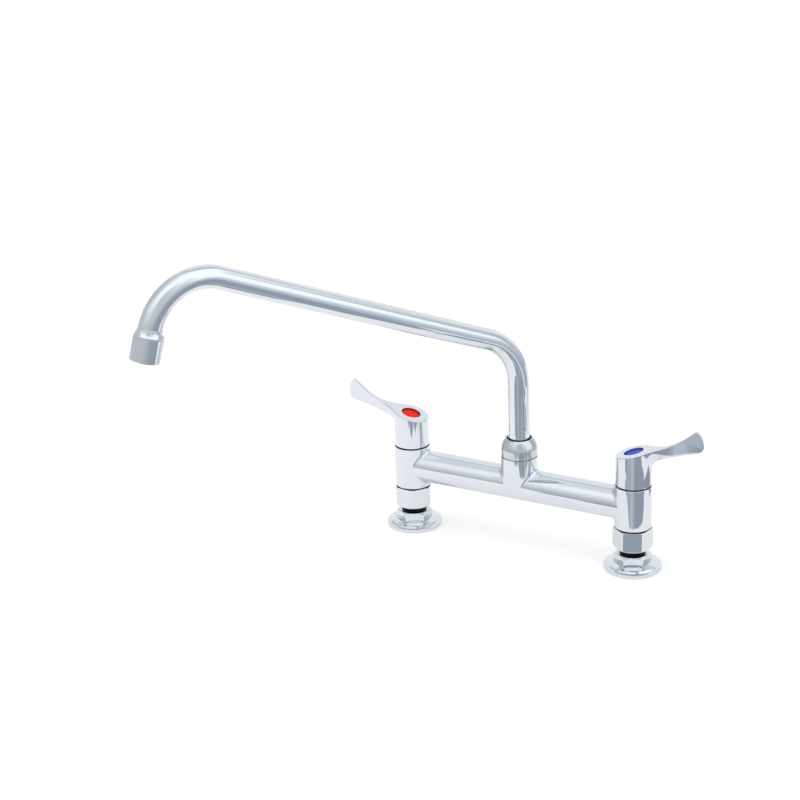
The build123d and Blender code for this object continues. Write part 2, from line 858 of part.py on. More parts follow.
    with BuildPart() as handle:
        with BuildSketch(lever_plan):
            with BuildLine():
                flare_foot = (flare_start, flare_start_width)
                flare_tip = (flare_reach, lever_half_thickness)
                lower_foot = (flare_start, -flare_start_width)
                lower_tip = (flare_reach, -lever_half_thickness)
                ThreePointArc(flare_foot, (-hub_radius, 0), lower_foot)
                RadiusArc(lower_foot, lower_tip, lever_flare_radius)
                Polyline(
                    lower_tip,
                    (lever_reach + toe_round, -lever_half_thickness),
                    (lever_reach + toe_round, lever_half_thickness),
                    flare_tip,
                )
                RadiusArc(flare_tip, flare_foot, lever_flare_radius)
            make_face()
        extrude(amount=handle_top)
        with BuildSketch(lever_side) as lever_profile:
            with BuildLine():
                back = -hub_radius - hub_foot_round
                toe_height = handle_bottom + lever_tip_height - toe_drop
                sweep_start = (face_reach, sweep_height)
                Polyline(
                    (lever_reach - toe_round, handle_bottom),
                    (back, handle_bottom),
                    (back, handle_top + back * tan(radians(face_slope))),
                    sweep_start,
                )
                sweep_end = (sweep_end_reach, sweep_end_height)
                RadiusArc(sweep_start, sweep_end, -lever_sweep_radius)
                Line(sweep_end, (lever_corner_reach, lever_corner_height))
                ThreePointArc(
                    (lever_corner_reach, lever_corner_height),
                    (lever_reach, handle_bottom + lever_tip_height),
                    (lever_reach - toe_round, toe_height),
                )
                Line(
                    (lever_reach - toe_round, toe_height),
                    (lever_reach - toe_round, handle_bottom),
                )
            make_face()
            fillet(lever_profile.vertices().group_by(Axis.Y)[-1], radius=lever_corner_round)
        extrude(amount=2 * hub_radius, both=True, mode=Mode.INTERSECT)
        top_rim = handle.edges().filter_by(lambda edge: edge.center().Z > handle_bottom + hub_height / 2)
        top_rim = top_rim.filter_by(lambda edge: abs(edge.tangent_at(0.5).Z) < 0.9)
        top_rim -= top_rim.filter_by(Axis((0, 0, 0), lever_side.z_dir))
        fillet(top_rim, radius=lever_edge_round)
        add(under_lever.part, mode=Mode.SUBTRACT)
        fillet(handle.edges().group_by(Axis.Z)[0], radius=hub_foot_round)
        revolve(
            half_section(
                section,
                (0, handle_bottom),
                (skirt_radius, handle_bottom),
                (skirt_radius, handle_bottom + skirt_height),
                (handle_cavity_radius, handle_bottom + skirt_height),
                (handle_cavity_radius, handle_cavity_top),
                (0, handle_cavity_top),
            ),
            axis=leg_axis,
            mode=Mode.SUBTRACT,
        )
        with BuildSketch(Plane(origin=(leg_x, 0, handle_cavity_top))):
            with BuildLine():
                Polyline(*serration(spline_radius + thread_clearance), close=True)
            make_face()
        extrude(amount=socket_top - handle_cavity_top, mode=Mode.SUBTRACT)
        revolve(
            half_section(
                section,
                (0, socket_top),
                (screw_radius + thread_clearance, socket_top),
                (screw_radius + thread_clearance, screw_seat),
                (screw_head_radius + end_clearance, screw_seat),
                (screw_head_radius + end_clearance, handle_top - button_recess - button_thickness),
                (0, handle_top - button_recess - button_thickness),
            ),
            axis=leg_axis,
            mode=Mode.SUBTRACT,
        )
        with BuildSketch(button_plane.offset(-button_recess - button_thickness)):
            Circle(button_radius)
        extrude(amount=hub_radius, mode=Mode.SUBTRACT)
    handle.part.label = f"{side}_handle"
    export_step(handle.part, f"parts/{side}_handle.step")

    with BuildPart() as index_button:
        with BuildSketch(button_plane.offset(-button_recess - button_thickness)):
            Circle(button_radius - seal_clearance)
        extrude(amount=button_thickness)
        fillet(index_button.edges().sort_by(Axis.Z)[-1], radius=button_edge_round)
    index_button.part.label = f"{side}_index_button"
    export_step(index_button.part, f"parts/{side}_index_button.step")

    with BuildPart() as handle_screw:
        revolve(
            half_section(
                section,
                (0, handle_cavity_top + end_clearance),
                (screw_radius, handle_cavity_top + end_clearance),
                (screw_radius, screw_seat),
                (screw_head_radius, screw_seat),
                (screw_head_radius, screw_seat + screw_head_height),
                (0, screw_seat + screw_head_height),
            ),
            axis=leg_axis,
        )
        with BuildSketch(Plane(origin=(leg_x, 0, screw_seat + screw_head_height))):
            RegularPolygon(screw_driver_flats / 2, 6, major_radius=False)
        extrude(amount=-screw_driver_depth, mode=Mode.SUBTRACT)
    handle_screw.part.label = f"{side}_handle_screw"
    export_step(handle_screw.part, f"parts/{side}_handle_screw.step")

# Spout's joint: nut, bush and slip washer stay with the body, and the collar turns with the spout
centre = upright_section(0)
with BuildPart() as spout_nut:
    with BuildSketch(centre):
        with BuildLine():
            skirt_top = (column_radius, nut_bottom + spout_nut_skirt)
            crown = (nut_mouth_radius + spout_nut_mouth_wall, nut_top)
            Polyline(
                skirt_top,
                (column_radius, nut_bottom),
                (boss_spigot_radius + thread_clearance, nut_bottom),
                (boss_spigot_radius + thread_clearance, bush_flange_top),
                (nut_mouth_radius, bush_flange_top),
                (nut_mouth_radius, nut_top),
                crown,
            )
            ThreePointArc(crown, (spout_nut_waist_radius, nut_bottom + spout_nut_waist_height), skirt_top)
        make_face()
    revolve(axis=Axis.Z)
spout_nut.part.label = "spout_nut"
export_step(spout_nut.part, "parts/spout_nut.step")

with BuildPart() as wear_bush:
    revolve(
        half_section(
            centre,
            (spout_radius + running_clearance, bush_bottom),
            (swivel_collar_radius, bush_bottom),
            (swivel_collar_radius, bush_flange_top),
            (bush_neck_radius, bush_flange_top),
            (bush_neck_radius, nut_top + bush_lip),
            (spout_radius + running_clearance, nut_top + bush_lip),
        ),
        axis=Axis.Z,
    )
wear_bush.part.label = "wear_bush"
export_step(wear_bush.part, "parts/wear_bush.step")

with BuildPart() as slip_washer:
    revolve(
        ring_section(
            centre,
            swivel_bore_radius + seal_clearance,
            swivel_collar_radius,
            shelf_bottom,
            shelf_bottom + slip_washer_thickness,
        ),
        axis=Axis.Z,
    )
slip_washer.part.label = "slip_washer"
export_step(slip_washer.part, "parts/slip_washer.step")

swivel_ring_bottoms = [
    (swivel_bottom + shelf_bottom - swivel_ring_height + turn * swivel_ring_pitch) / 2 for turn in (-1, 1)
]
with BuildPart() as swivel_collar:
    revolve(
        half_section(
            centre,
            (spout_radius - spout_wall, swivel_bottom),
            (swivel_radius, swivel_bottom),
            (swivel_radius, swivel_collar_bottom),
            (swivel_collar_radius, swivel_collar_bottom),
            (swivel_collar_radius, swivel_collar_top),
            (spout_radius + seal_clearance, swivel_collar_top),
            (spout_radius + seal_clearance, spout_foot),
            (spout_radius - spout_wall, spout_foot),
        ),
        axis=Axis.Z,
    )
    for ring_bottom in swivel_ring_bottoms:
        revolve(
            ring_section(
                centre,
                swivel_groove_radius,
                swivel_bore_radius,
                ring_bottom,
                ring_bottom + swivel_ring_height,
            ),
            axis=Axis.Z,
            mode=Mode.SUBTRACT,
        )
swivel_collar.part.label = "swivel_collar"
export_step(swivel_collar.part, "parts/swivel_collar.step")

with BuildPart() as spout_orings:
    for ring_bottom in swivel_ring_bottoms:
        revolve(
            ring_section(
                centre,
                swivel_groove_radius + seal_clearance,
                swivel_bore_radius - seal_clearance,
                ring_bottom + seal_clearance,
                ring_bottom + swivel_ring_height - seal_clearance,
            ),
            axis=Axis.Z,
        )
spout_orings.part.label = "spout_orings"
export_step(spout_orings.part, "parts/spout_orings.step")

# Spout tube, drawn flat as distance from the swivel axis against height, then stood up in its plane
with BuildLine() as spout_route:
    riser = Line((0, spout_foot), (0, riser_top))
    riser_bend = JernArc(riser @ 1, riser % 1, riser_bend_radius, run_slope - 90)
    run = PolarLine(riser_bend @ 1, run_length, direction=riser_bend % 1)
    tip_bend = JernArc(run @ 1, run % 1, tip_bend_radius, outlet_tilt - 90 - run_slope)
    outlet = PolarLine(tip_bend @ 1, outlet_straight, direction=tip_bend % 1)

with BuildPart() as spout_tube:
    with BuildSketch(Plane(origin=(0, 0, spout_foot))):
        Circle(spout_radius)
        Circle(spout_radius - spout_wall, mode=Mode.SUBTRACT)
    sweep(path=spout_plane.location * spout_route.wire())
spout_tube.part.label = "spout_tube"
export_step(spout_tube.part, "parts/spout_tube.step")

# Outlet pieces are turned about the flow's axis, with the radius along x and the way along the flow along y
bend_end = spout_plane.from_local_coords(tip_bend @ 1)
flow = spout_out * sin(radians(outlet_tilt)) - Vector(0, 0, cos(radians(outlet_tilt)))
beside_flow = spout_out * cos(radians(outlet_tilt)) + Vector(0, 0, sin(radians(outlet_tilt)))
outlet_section = Plane(origin=bend_end, x_dir=beside_flow, z_dir=beside_flow.cross(flow))
outlet_axis = Axis(bend_end, flow)
nose_end = nose_rim_end + nose_thread_length
washer_end = nose_end + aerator_washer_thickness
screen_end = washer_end + screen_thickness
aerator_start = nose_rim_end + aerator_gap
aerator_end = aerator_start + aerator_length
insert_end = aerator_end - aerator_lip_height

with BuildPart() as outlet_nose:
    with BuildSketch(outlet_section):
        with BuildLine():
            flare_root = (spout_radius + nose_root_wall, nose_start)
            flare_rim = (spout_radius + nose_rim_wall, nose_rim_end - nose_rim_width)
            flare_middle = (
                (flare_root[0] + flare_rim[0]) / 2 - nose_sag_inward,
                (flare_root[1] + flare_rim[1]) / 2 + nose_sag_onward,
            )
            ThreePointArc(flare_root, flare_middle, flare_rim)
            Polyline(
                flare_rim,
                (spout_radius + nose_rim_wall, nose_rim_end),
                (nose_thread_radius, nose_rim_end),
                (nose_thread_radius, nose_end),
                (spout_radius - spout_wall, nose_end),
                (spout_radius - spout_wall, outlet_straight),
                (spout_radius + seal_clearance, outlet_straight),
                (spout_radius + seal_clearance, nose_start),
                flare_root,
            )
        make_face()
    revolve(axis=outlet_axis)
outlet_nose.part.label = "outlet_nose"
export_step(outlet_nose.part, "parts/outlet_nose.step")

with BuildPart() as aerator_washer:
    revolve(
        ring_section(
            outlet_section,
            aerator_fill_radius - aerator_washer_width,
            aerator_fill_radius,
            nose_end,
            washer_end,
        ),
        axis=outlet_axis,
    )
aerator_washer.part.label = "aerator_washer"
export_step(aerator_washer.part, "parts/aerator_washer.step")

with BuildPart() as aerator_screen:
    with BuildSketch(Plane(origin=bend_end + flow * washer_end, x_dir=beside_flow, z_dir=flow)):
        Circle(aerator_fill_radius)
        with GridLocations(screen_pitch, screen_pitch, 5, 5):
            Rectangle(screen_hole, screen_hole, mode=Mode.SUBTRACT)
    extrude(amount=screen_thickness)
aerator_screen.part.label = "aerator_screen"
export_step(aerator_screen.part, "parts/aerator_screen.step")

with BuildPart() as aerator_insert:
    with BuildSketch(Plane(origin=bend_end + flow * screen_end, x_dir=beside_flow, z_dir=flow)):
        Circle(aerator_fill_radius)
        Circle(aerator_fill_radius - insert_wall, mode=Mode.SUBTRACT)
        Circle(insert_hub_radius)
        with PolarLocations(aerator_fill_radius / 2, insert_rib_count):
            Rectangle(aerator_fill_radius - 2 * insert_wall, insert_rib_width)
    extrude(amount=insert_end - screen_end)
aerator_insert.part.label = "aerator_insert"
export_step(aerator_insert.part, "parts/aerator_insert.step")

with BuildPart() as aerator_shell:
    revolve(
        half_section(
            outlet_section,
            (aerator_bore_radius, aerator_start),
            (aerator_radius - aerator_edge_round, aerator_start),
            (aerator_radius, aerator_start + aerator_edge_round),
            (aerator_radius, aerator_end - aerator_edge_round),
            (aerator_radius - aerator_edge_round, aerator_end),
            (aerator_lip_radius, aerator_end),
            (aerator_lip_radius, insert_end),
            (aerator_bore_radius, insert_end),
        ),
        axis=outlet_axis,
    )
aerator_shell.part.label = "aerator_shell"
export_step(aerator_shell.part, "parts/aerator_shell.step")
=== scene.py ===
# %% [markdown]
# # A deck-mount bridge faucet in chrome
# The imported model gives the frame: every piece of the real faucet is already there at its true place, in
# metres. This lesson puts a camera and a soft studio around it. It then works out the turned, threaded and
# bent pieces with numpy, and gives each finish its own node material. The pieces that the solids already
# show well keep their solid and only get a finish.

import bpy
import numpy as np
from mathutils import Matrix, Vector


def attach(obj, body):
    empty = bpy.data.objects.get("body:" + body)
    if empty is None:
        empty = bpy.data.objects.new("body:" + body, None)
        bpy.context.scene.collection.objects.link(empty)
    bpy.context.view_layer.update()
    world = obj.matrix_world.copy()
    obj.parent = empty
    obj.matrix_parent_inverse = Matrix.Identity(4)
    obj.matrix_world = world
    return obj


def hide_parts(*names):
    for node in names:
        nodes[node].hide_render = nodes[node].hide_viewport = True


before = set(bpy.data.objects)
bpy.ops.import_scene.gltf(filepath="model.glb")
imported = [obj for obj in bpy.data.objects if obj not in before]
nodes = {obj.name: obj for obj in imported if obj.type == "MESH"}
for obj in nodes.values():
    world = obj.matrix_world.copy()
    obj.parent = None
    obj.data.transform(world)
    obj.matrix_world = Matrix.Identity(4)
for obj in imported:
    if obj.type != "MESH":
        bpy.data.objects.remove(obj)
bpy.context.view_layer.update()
scene = bpy.context.scene

# %% [markdown]
# ## Camera
# The photograph was taken with a long lens from the front, right and above. A camera is a place, a
# direction and a small roll. It could be aimed at a target with a constraint, but a catalogue picture is
# often turned a degree or two, and a plain aim can't say that. So the camera's three axes are written as
# the columns of a rotation matrix.

# %% Camera
film_width, focal_length = 36.0, 84.44
camera_place = Vector((0.6317, -1.2852, 0.6868))
camera_right = Vector((0.8715, 0.4891, -0.0339)).normalized()
camera_forward = Vector((-0.4670, 0.8071, -0.3611)).normalized()
camera_up = camera_right.cross(camera_forward)
lens = bpy.data.cameras.new("catalogue_lens")
lens.sensor_width = film_width
lens.lens = focal_length
camera = bpy.data.objects.new("catalogue_camera", lens)
camera.matrix_world = Matrix(
    (
        (camera_right.x, camera_up.x, -camera_forward.x, camera_place.x),
        (camera_right.y, camera_up.y, -camera_forward.y, camera_place.y),
        (camera_right.z, camera_up.z, -camera_forward.z, camera_place.z),
        (0, 0, 0, 1),
    )
)
scene.collection.objects.link(camera)
scene.camera = camera
print("camera distance in mm:", round(1000 * camera_place.length))

# %% [markdown]
# ## Surfaces from grids
# A turned or bent piece is a grid of points: rows along an outline, columns round an axis. Both directions
# close on themselves, so the skin has no seam and no open end. A Screw modifier could turn an outline too,
# but its normals would be averages of its faces. Here they are worked out from the same grid with central
# differences, because a mirror finish shows every small error that averaged normals would leave. Sizes are
# named in millimetres and become metres as a grid is made.

# %% Grid helpers
mm = 0.001


def grid_faces(rows, columns):
    """Quads of a grid that closes on itself both ways: (i, j) joins (i, j+1), (i+1, j+1) and (i+1, j)."""
    row, column = np.meshgrid(np.arange(rows), np.arange(columns), indexing="ij")
    next_row, next_column = (row + 1) % rows, (column + 1) % columns
    corners = (row * columns + column, row * columns + next_column)
    corners += (next_row * columns + next_column, next_row * columns + column)
    return np.stack(corners, axis=-1).reshape(-1, 4)


def grid_normals(points):
    """Cross product of the two central differences at each grid point, made one long."""
    along = np.roll(points, -1, axis=0) - np.roll(points, 1, axis=0)
    across = np.roll(points, -1, axis=1) - np.roll(points, 1, axis=1)
    normals = np.cross(across, along)
    return normals / np.linalg.norm(normals, axis=-1, keepdims=True)


def skin(name, points):
    """Put a doubly closed grid of points, shaped rows x columns x 3 in metres, into a smooth mesh object."""
    rows, columns = points.shape[:2]
    faces = grid_faces(rows, columns)
    mesh = bpy.data.meshes.new(name)
    mesh.vertices.add(rows * columns)
    mesh.vertices.foreach_set("co", points.reshape(-1))
    mesh.loops.add(faces.size)
    mesh.loops.foreach_set("vertex_index", faces.reshape(-1))
    mesh.polygons.add(len(faces))
    mesh.polygons.foreach_set("loop_start", np.arange(0, faces.size, 4))
    mesh.polygons.foreach_set("use_smooth", np.ones(len(faces), dtype=bool))
    mesh.update(calc_edges=True)
    mesh.validate()
    mesh.normals_split_custom_set_from_vertices(grid_normals(points).reshape(-1, 3))
    piece = bpy.data.objects.new(name, mesh)
    scene.collection.objects.link(piece)
    return piece


# %% [markdown]
# ## Outlines
# A lathe tool leaves straight runs, and a buffing wheel rounds the corners between them. So an outline is
# written as its sharp corners with a round for each, and is then carried round an axis. A Bevel modifier
# could round the corners of a finished mesh, but arcs worked out in the outline keep the radius that each
# corner is given.

# %% Outline helpers


def rounded(corners, rounds, steps=6):
    """Outline whose corners are arcs: each arc starts at the corner less radius x tan(half turn) and its
    normal swings from one side's to the next side's in equal steps. Points run anticlockwise."""
    corners, rounds = np.asarray(corners, float), np.asarray(rounds, float)
    before = corners - np.roll(corners, 1, axis=0)
    after = np.roll(corners, -1, axis=0) - corners
    heading = np.arctan2(before[:, 1], before[:, 0])
    turn = (np.arctan2(after[:, 1], after[:, 0]) - heading + np.pi) % (2 * np.pi) - np.pi
    arriving = before / np.linalg.norm(before, axis=1)[:, None]
    start = corners - arriving * (rounds * np.tan(np.abs(turn) / 2))[:, None]
    swing = heading[:, None] + turn[:, None] * np.linspace(0, 1, steps + 1)
    normal = np.stack((np.sin(swing), -np.cos(swing)), axis=-1)
    arc = normal - normal[:, :1]
    return (start[:, None] + (np.sign(turn) * rounds)[:, None, None] * arc).reshape(-1, 2)


def arc_through(first, middle, last, count):
    """Circle through three points, sampled from the first to the last by equal angles."""
    first, middle, last = np.array(first), np.array(middle), np.array(last)
    rows = 2 * np.array((middle - first, last - first))
    centre = np.linalg.solve(rows, (rows * (np.array((middle, last)) + first) / 2).sum(axis=1))
    angles = np.unwrap([np.arctan2(*(point - centre)[::-1]) for point in (first, middle, last)])
    swing = np.linspace(angles[0], angles[2], count)
    return centre + np.linalg.norm(first - centre) * np.stack((np.cos(swing), np.sin(swing)), axis=-1)


def around(columns):
    """Equal angles round an axis, one for each column of a grid."""
    return np.linspace(0, 2 * np.pi, columns, endpoint=False)


def turned(outline, origin, axis=(0, 0, 1), columns=128):
    """Carry an outline of radius and height, in mm, round an axis: x = radius cos a, y = radius sin a."""
    axis = Vector(axis).normalized()
    nearly_upright = abs(axis.z) >= 0.999
    first = Vector((1, 0, 0)) if nearly_upright else axis.orthogonal().normalized()
    second = axis.cross(first)
    angle = around(columns)
    ring = np.cos(angle)[:, None] * np.array(first) + np.sin(angle)[:, None] * np.array(second)
    outline = np.asarray(outline) * mm
    return np.array(origin) + outline[:, None, :1] * ring + outline[:, None, 1:] * np.array(axis)


# %% [markdown]
# ## Chrome
# Bright chrome is a mirror a fraction of a micron thick over polished brass. It is almost pure reflection,
# tinted a little blue. A plain mirror material would give the colour, but what the eye reads as real is
# slight: a long soft waviness left by the polishing wheel, a fine haze that changes over a few millimetres,
# and a trace of handling film. All three are noise on Object coordinates, so that they stay with each piece
# when it turns.

# %% Material helpers


def new_material(name):
    """Material with an empty graph, its Principled shader and its output."""
    material = bpy.data.materials.new(name)
    material.use_nodes = True
    tree = material.node_tree
    tree.nodes.clear()
    shader = tree.nodes.new("ShaderNodeBsdfPrincipled")
    output = tree.nodes.new("ShaderNodeOutputMaterial")
    tree.links.new(shader.outputs["BSDF"], output.inputs["Surface"])
    return material, tree, shader


def object_place(tree, stretch=(1, 1, 1)):
    """Object coordinates, stretched along the axes where a pattern has a direction."""
    place = tree.nodes.new("ShaderNodeTexCoord")
    mapping = tree.nodes.new("ShaderNodeMapping")
    mapping.inputs["Scale"].default_value = stretch
    tree.links.new(place.outputs["Object"], mapping.inputs["Vector"])
    return mapping.outputs["Vector"]


def noise(tree, place, size, detail=2.0, roughness=0.5):
    """Noise whose blotches are about one size across, in metres."""
    node = tree.nodes.new("ShaderNodeTexNoise")
    node.inputs["Scale"].default_value = 1 / size
    node.inputs["Detail"].default_value = detail
    node.inputs["Roughness"].default_value = roughness
    tree.links.new(place, node.inputs["Vector"])
    return node.outputs["Fac"]


def spread(tree, value, low, high, start=0.3, end=0.7):
    """Map a pattern from start..end to low..high. Most noise lies between the two defaults."""
    node = tree.nodes.new("ShaderNodeMapRange")
    node.inputs["From Min"].default_value = start
    node.inputs["From Max"].default_value = end
    node.inputs["To Min"].default_value = low
    node.inputs["To Max"].default_value = high
    tree.links.new(value, node.inputs["Value"])
    return node.outputs["Result"]


def tones(tree, value, first, last, start=0.3, end=0.7):
    """Colours that go from the first to the last with a pattern."""
    node = tree.nodes.new("ShaderNodeValToRGB")
    node.color_ramp.elements[0].position = start
    node.color_ramp.elements[0].color = (*first, 1)
    node.color_ramp.elements[1].position = end
    node.color_ramp.elements[1].color = (*last, 1)
    tree.links.new(value, node.inputs["Fac"])
    return node.outputs["Color"]


def relief(tree, shader, *layers):
    """Stack bumps, each a pattern and its height in metres."""
    below = None
    for pattern, height in layers:
        node = tree.nodes.new("ShaderNodeBump")
        node.inputs["Distance"].default_value = height
        tree.links.new(pattern, node.inputs["Height"])
        if below is not None:
            tree.links.new(below, node.inputs["Normal"])
        below = node.outputs["Normal"]
    tree.links.new(below, shader.inputs["Normal"])


# %% Chrome finishes
# Widths of the patterns and the height of the grain, in metres.
film_size, haze_size, wave_size, grain_size = 0.018, 0.007, 0.011, 0.0009
grain_height = 2e-8
bright_haze, satin_haze = (0.035, 0.075), (0.10, 0.19)
bright_tint = ((0.715, 0.742, 0.79), (0.74, 0.762, 0.805))
satin_tint = ((0.55, 0.60, 0.64), (0.63, 0.67, 0.70))


def chrome(name, wave_height, haze=bright_haze, tint=bright_tint):
    """Plated and polished metal: waviness, haze and film."""
    material, tree, shader = new_material(name)
    place = object_place(tree)
    film = noise(tree, place, film_size, detail=5, roughness=0.6)
    tree.links.new(tones(tree, film, *tint), shader.inputs["Base Color"])
    tree.links.new(spread(tree, noise(tree, place, haze_size, detail=4), *haze), shader.inputs["Roughness"])
    shader.inputs["Metallic"].default_value = 1.0
    waves, grain = noise(tree, place, wave_size, detail=1), noise(tree, place, grain_size)
    relief(tree, shader, (waves, wave_height), (grain, grain_height))
    return material


cast_chrome = chrome("cast_chrome", 3.0e-6)
turned_chrome = chrome("turned_chrome", 1.0e-6)
tube_chrome = chrome("tube_chrome", 1.5e-6)
satin_chrome = chrome("satin_chrome", 1.5e-6, satin_haze, satin_tint)
print("chrome finishes:", cast_chrome.name, turned_chrome.name, tube_chrome.name, satin_chrome.name)

# %% [markdown]
# ## Metals, plastics and rubber out of the bright light
# The inlet tails are brass, given a near-black finish: dark oiled thread with the painted shade of the gap
# between the nuts in it, which shows where the thread is left bare. Brass that is cut on a lathe keeps fine
# rings, so its pattern is squeezed thin along the piece's height. An image of brushed metal could show them,
# but noise needs no unwrapping and has no seam. Ceramic discs are lapped flat and nearly white.
# Rubber and acetal are dull, with a fine pebble from the mould.

# %% Other finishes
ring_stretch = (60, 60, 4000)
stain_size, cloud_size, gloss_patch_size = 0.006, 0.004, 0.0025


def cut_metal(name, dark, light, roughness, groove):
    """Bare metal with lathe rings: noise squeezed to thin layers along the height."""
    material, tree, shader = new_material(name)
    rings = noise(tree, object_place(tree, ring_stretch), 1.0, detail=2)
    stain = noise(tree, object_place(tree), stain_size, detail=5, roughness=0.65)
    tree.links.new(tones(tree, stain, dark, light), shader.inputs["Base Color"])
    tree.links.new(spread(tree, rings, *roughness), shader.inputs["Roughness"])
    shader.inputs["Metallic"].default_value = 1.0
    relief(tree, shader, (rings, groove))
    return material


def moulded(name, dark, light, roughness, grain, pebble, shine=0.5):
    """Plastic or rubber from a mould: faint cloudiness in the colour and a pebbled skin."""
    material, tree, shader = new_material(name)
    place = object_place(tree)
    clouds, patches = noise(tree, place, cloud_size, detail=4), noise(tree, place, gloss_patch_size, detail=3)
    tree.links.new(tones(tree, clouds, dark, light), shader.inputs["Base Color"])
    tree.links.new(spread(tree, patches, *roughness), shader.inputs["Roughness"])
    shader.inputs["Specular IOR Level"].default_value = shine
    relief(tree, shader, (noise(tree, place, grain, detail=3), pebble))
    return material


brass = cut_metal("cut_brass", (0.46, 0.31, 0.12), (0.66, 0.48, 0.20), (0.22, 0.38), 2e-6)
# Near-black thread: dark oiled thread, with the painted shade of the narrow gap between the nuts.
dark_thread = cut_metal("dark_thread", (0.012, 0.014, 0.018), (0.045, 0.05, 0.06), (0.28, 0.45), 1.5e-6)
stainless = cut_metal("stainless", (0.42, 0.42, 0.42), (0.56, 0.56, 0.57), (0.2, 0.34), 1e-6)
soot = (0.004, 0.004, 0.006), (0.009, 0.009, 0.012)
black_rubber = moulded("black_rubber", *soot, (0.45, 0.7), 0.0004, 4e-6, shine=0.1)
black_acetal = moulded("black_acetal", *soot, (0.3, 0.45), 0.0005, 2e-6, shine=0.1)
white_acetal = moulded("white_acetal", (0.70, 0.70, 0.68), (0.80, 0.80, 0.78), (0.35, 0.5), 0.0005, 2e-6)
alumina = moulded("alumina", (0.80, 0.79, 0.76), (0.88, 0.87, 0.85), (0.12, 0.22), 0.0003, 5e-7)
fibre = moulded("pressed_fibre", (0.20, 0.035, 0.03), (0.34, 0.07, 0.055), (0.7, 0.9), 0.0003, 1.2e-5)
print("metals:", brass.name, dark_thread.name, stainless.name)

# %% [markdown]
# ## Index buttons
# The red and blue buttons are translucent plastic in a bright cup. Near the rim the cup's wall shades them,
# and that shade is painted into their colour, which deepens there. An image texture could show that, but the
# distance from the middle of the button's box gives the same ring on any button, however its face is tilted.

# %% Index buttons
# Where the painted shade at the rim starts and where it is full, as shares of the button's half width.
rim_shade_start, rim_shade_end = 0.76, 0.97
button_roughness, button_shine = (0.45, 0.55), 0.15
button_grain_size, button_grain_height = 0.0011, 6e-7


def index_plastic(name, button, middle, rim):
    """Colour by the distance from the middle of the button's box, as a share of its half width, deepening at
    the rim as painted shade.
    """
    material, tree, shader = new_material(name)
    box = np.array(button.bound_box)
    away = tree.nodes.new("ShaderNodeVectorMath")
    away.operation = "DISTANCE"
    away.inputs[1].default_value = box.mean(axis=0)
    place = object_place(tree)
    tree.links.new(place, away.inputs[0])
    share = spread(tree, away.outputs["Value"], 0, 1, 0, np.ptp(box[:, 1]) / 2)
    tree.links.new(tones(tree, share, middle, rim, rim_shade_start, rim_shade_end), shader.inputs["Base Color"])
    patches = noise(tree, place, gloss_patch_size)
    tree.links.new(spread(tree, patches, *button_roughness), shader.inputs["Roughness"])
    shader.inputs["Specular IOR Level"].default_value = button_shine
    relief(tree, shader, (noise(tree, place, button_grain_size), button_grain_height))
    return material


# Each pair: the button's own colour in the middle, and the deeper colour painted at the rim as shade.
reds = (0.88, 0.014, 0.005), (0.20, 0.004, 0.003)
blues = (0.045, 0.085, 0.60), (0.008, 0.014, 0.13)
red_index = index_plastic("red_index", nodes["hot_index_button"], *reds)
blue_index = index_plastic("blue_index", nodes["cold_index_button"], *blues)
print("buttons:", red_index.name, blue_index.name)

# %% [markdown]
# ## Which finish goes where
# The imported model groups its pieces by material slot. The pieces that stay as they are get their finish
# here. That could be done piece by piece, but going by slot gives every piece its finish in one loop. The
# body and the handles are castings, polished by hand, so their chrome waves more than turned chrome does.

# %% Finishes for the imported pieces
slot_finishes = {
    "chrome": turned_chrome,
    "brass": brass,
    "stainless": stainless,
    "black_rubber": black_rubber,
    "black_plastic": black_acetal,
    "white_plastic": white_acetal,
    "ceramic": alumina,
    "fibre": fibre,
    "red_plastic": red_index,
    "blue_plastic": blue_index,
}
for node in nodes.values():
    for slot in node.material_slots:
        slot.material = slot_finishes[slot.material.name.split(".")[0]]
for cast_piece in ("bridge_body", "hot_handle", "cold_handle"):
    for slot in nodes[cast_piece].material_slots:
        slot.material = cast_chrome
print("packed pieces with a finish:", len(nodes))

# %% [markdown]
# ## Hexagon nuts
# A nut is turned from hexagon bar. Its side is flat, and a cone at each end cuts the corners to the curved
# edges that every nut shows. A Boolean modifier could cut a six-sided cylinder with the cones, but the
# edges would still need their rounds. A formula is shorter and smoother: the radius at an angle and a
# height is the least of two things, the hexagon and the cone, and a soft minimum leaves the small round
# that polishing gives.

# %% Nut surface
chamfer_slope, chamfer_length, chamfer_rows = np.tan(np.radians(30)), 2.4, 22
edge_round, edge_rows, arris_blend = 0.25, 5, 0.16
bore_round, bore_steps = 0.15, 3


def soft_least(first, second, blend):
    """Smaller of two arrays, rounded over a distance where they cross."""
    return (first + second - np.sqrt((first - second) ** 2 + blend**2)) / 2


def hexagon_radius(angle, half_flats, turn, sharpness=70):
    """Rounded hexagon: one over the sharpness-norm of the six facets' cos(angle - facet) / half_flats."""
    facets = np.radians(turn + 30 + 60 * np.arange(6))
    reach = np.clip(np.cos(angle[..., None] - facets), 0, 1) / half_flats
    return (reach**sharpness).sum(axis=-1) ** (-1 / sharpness)


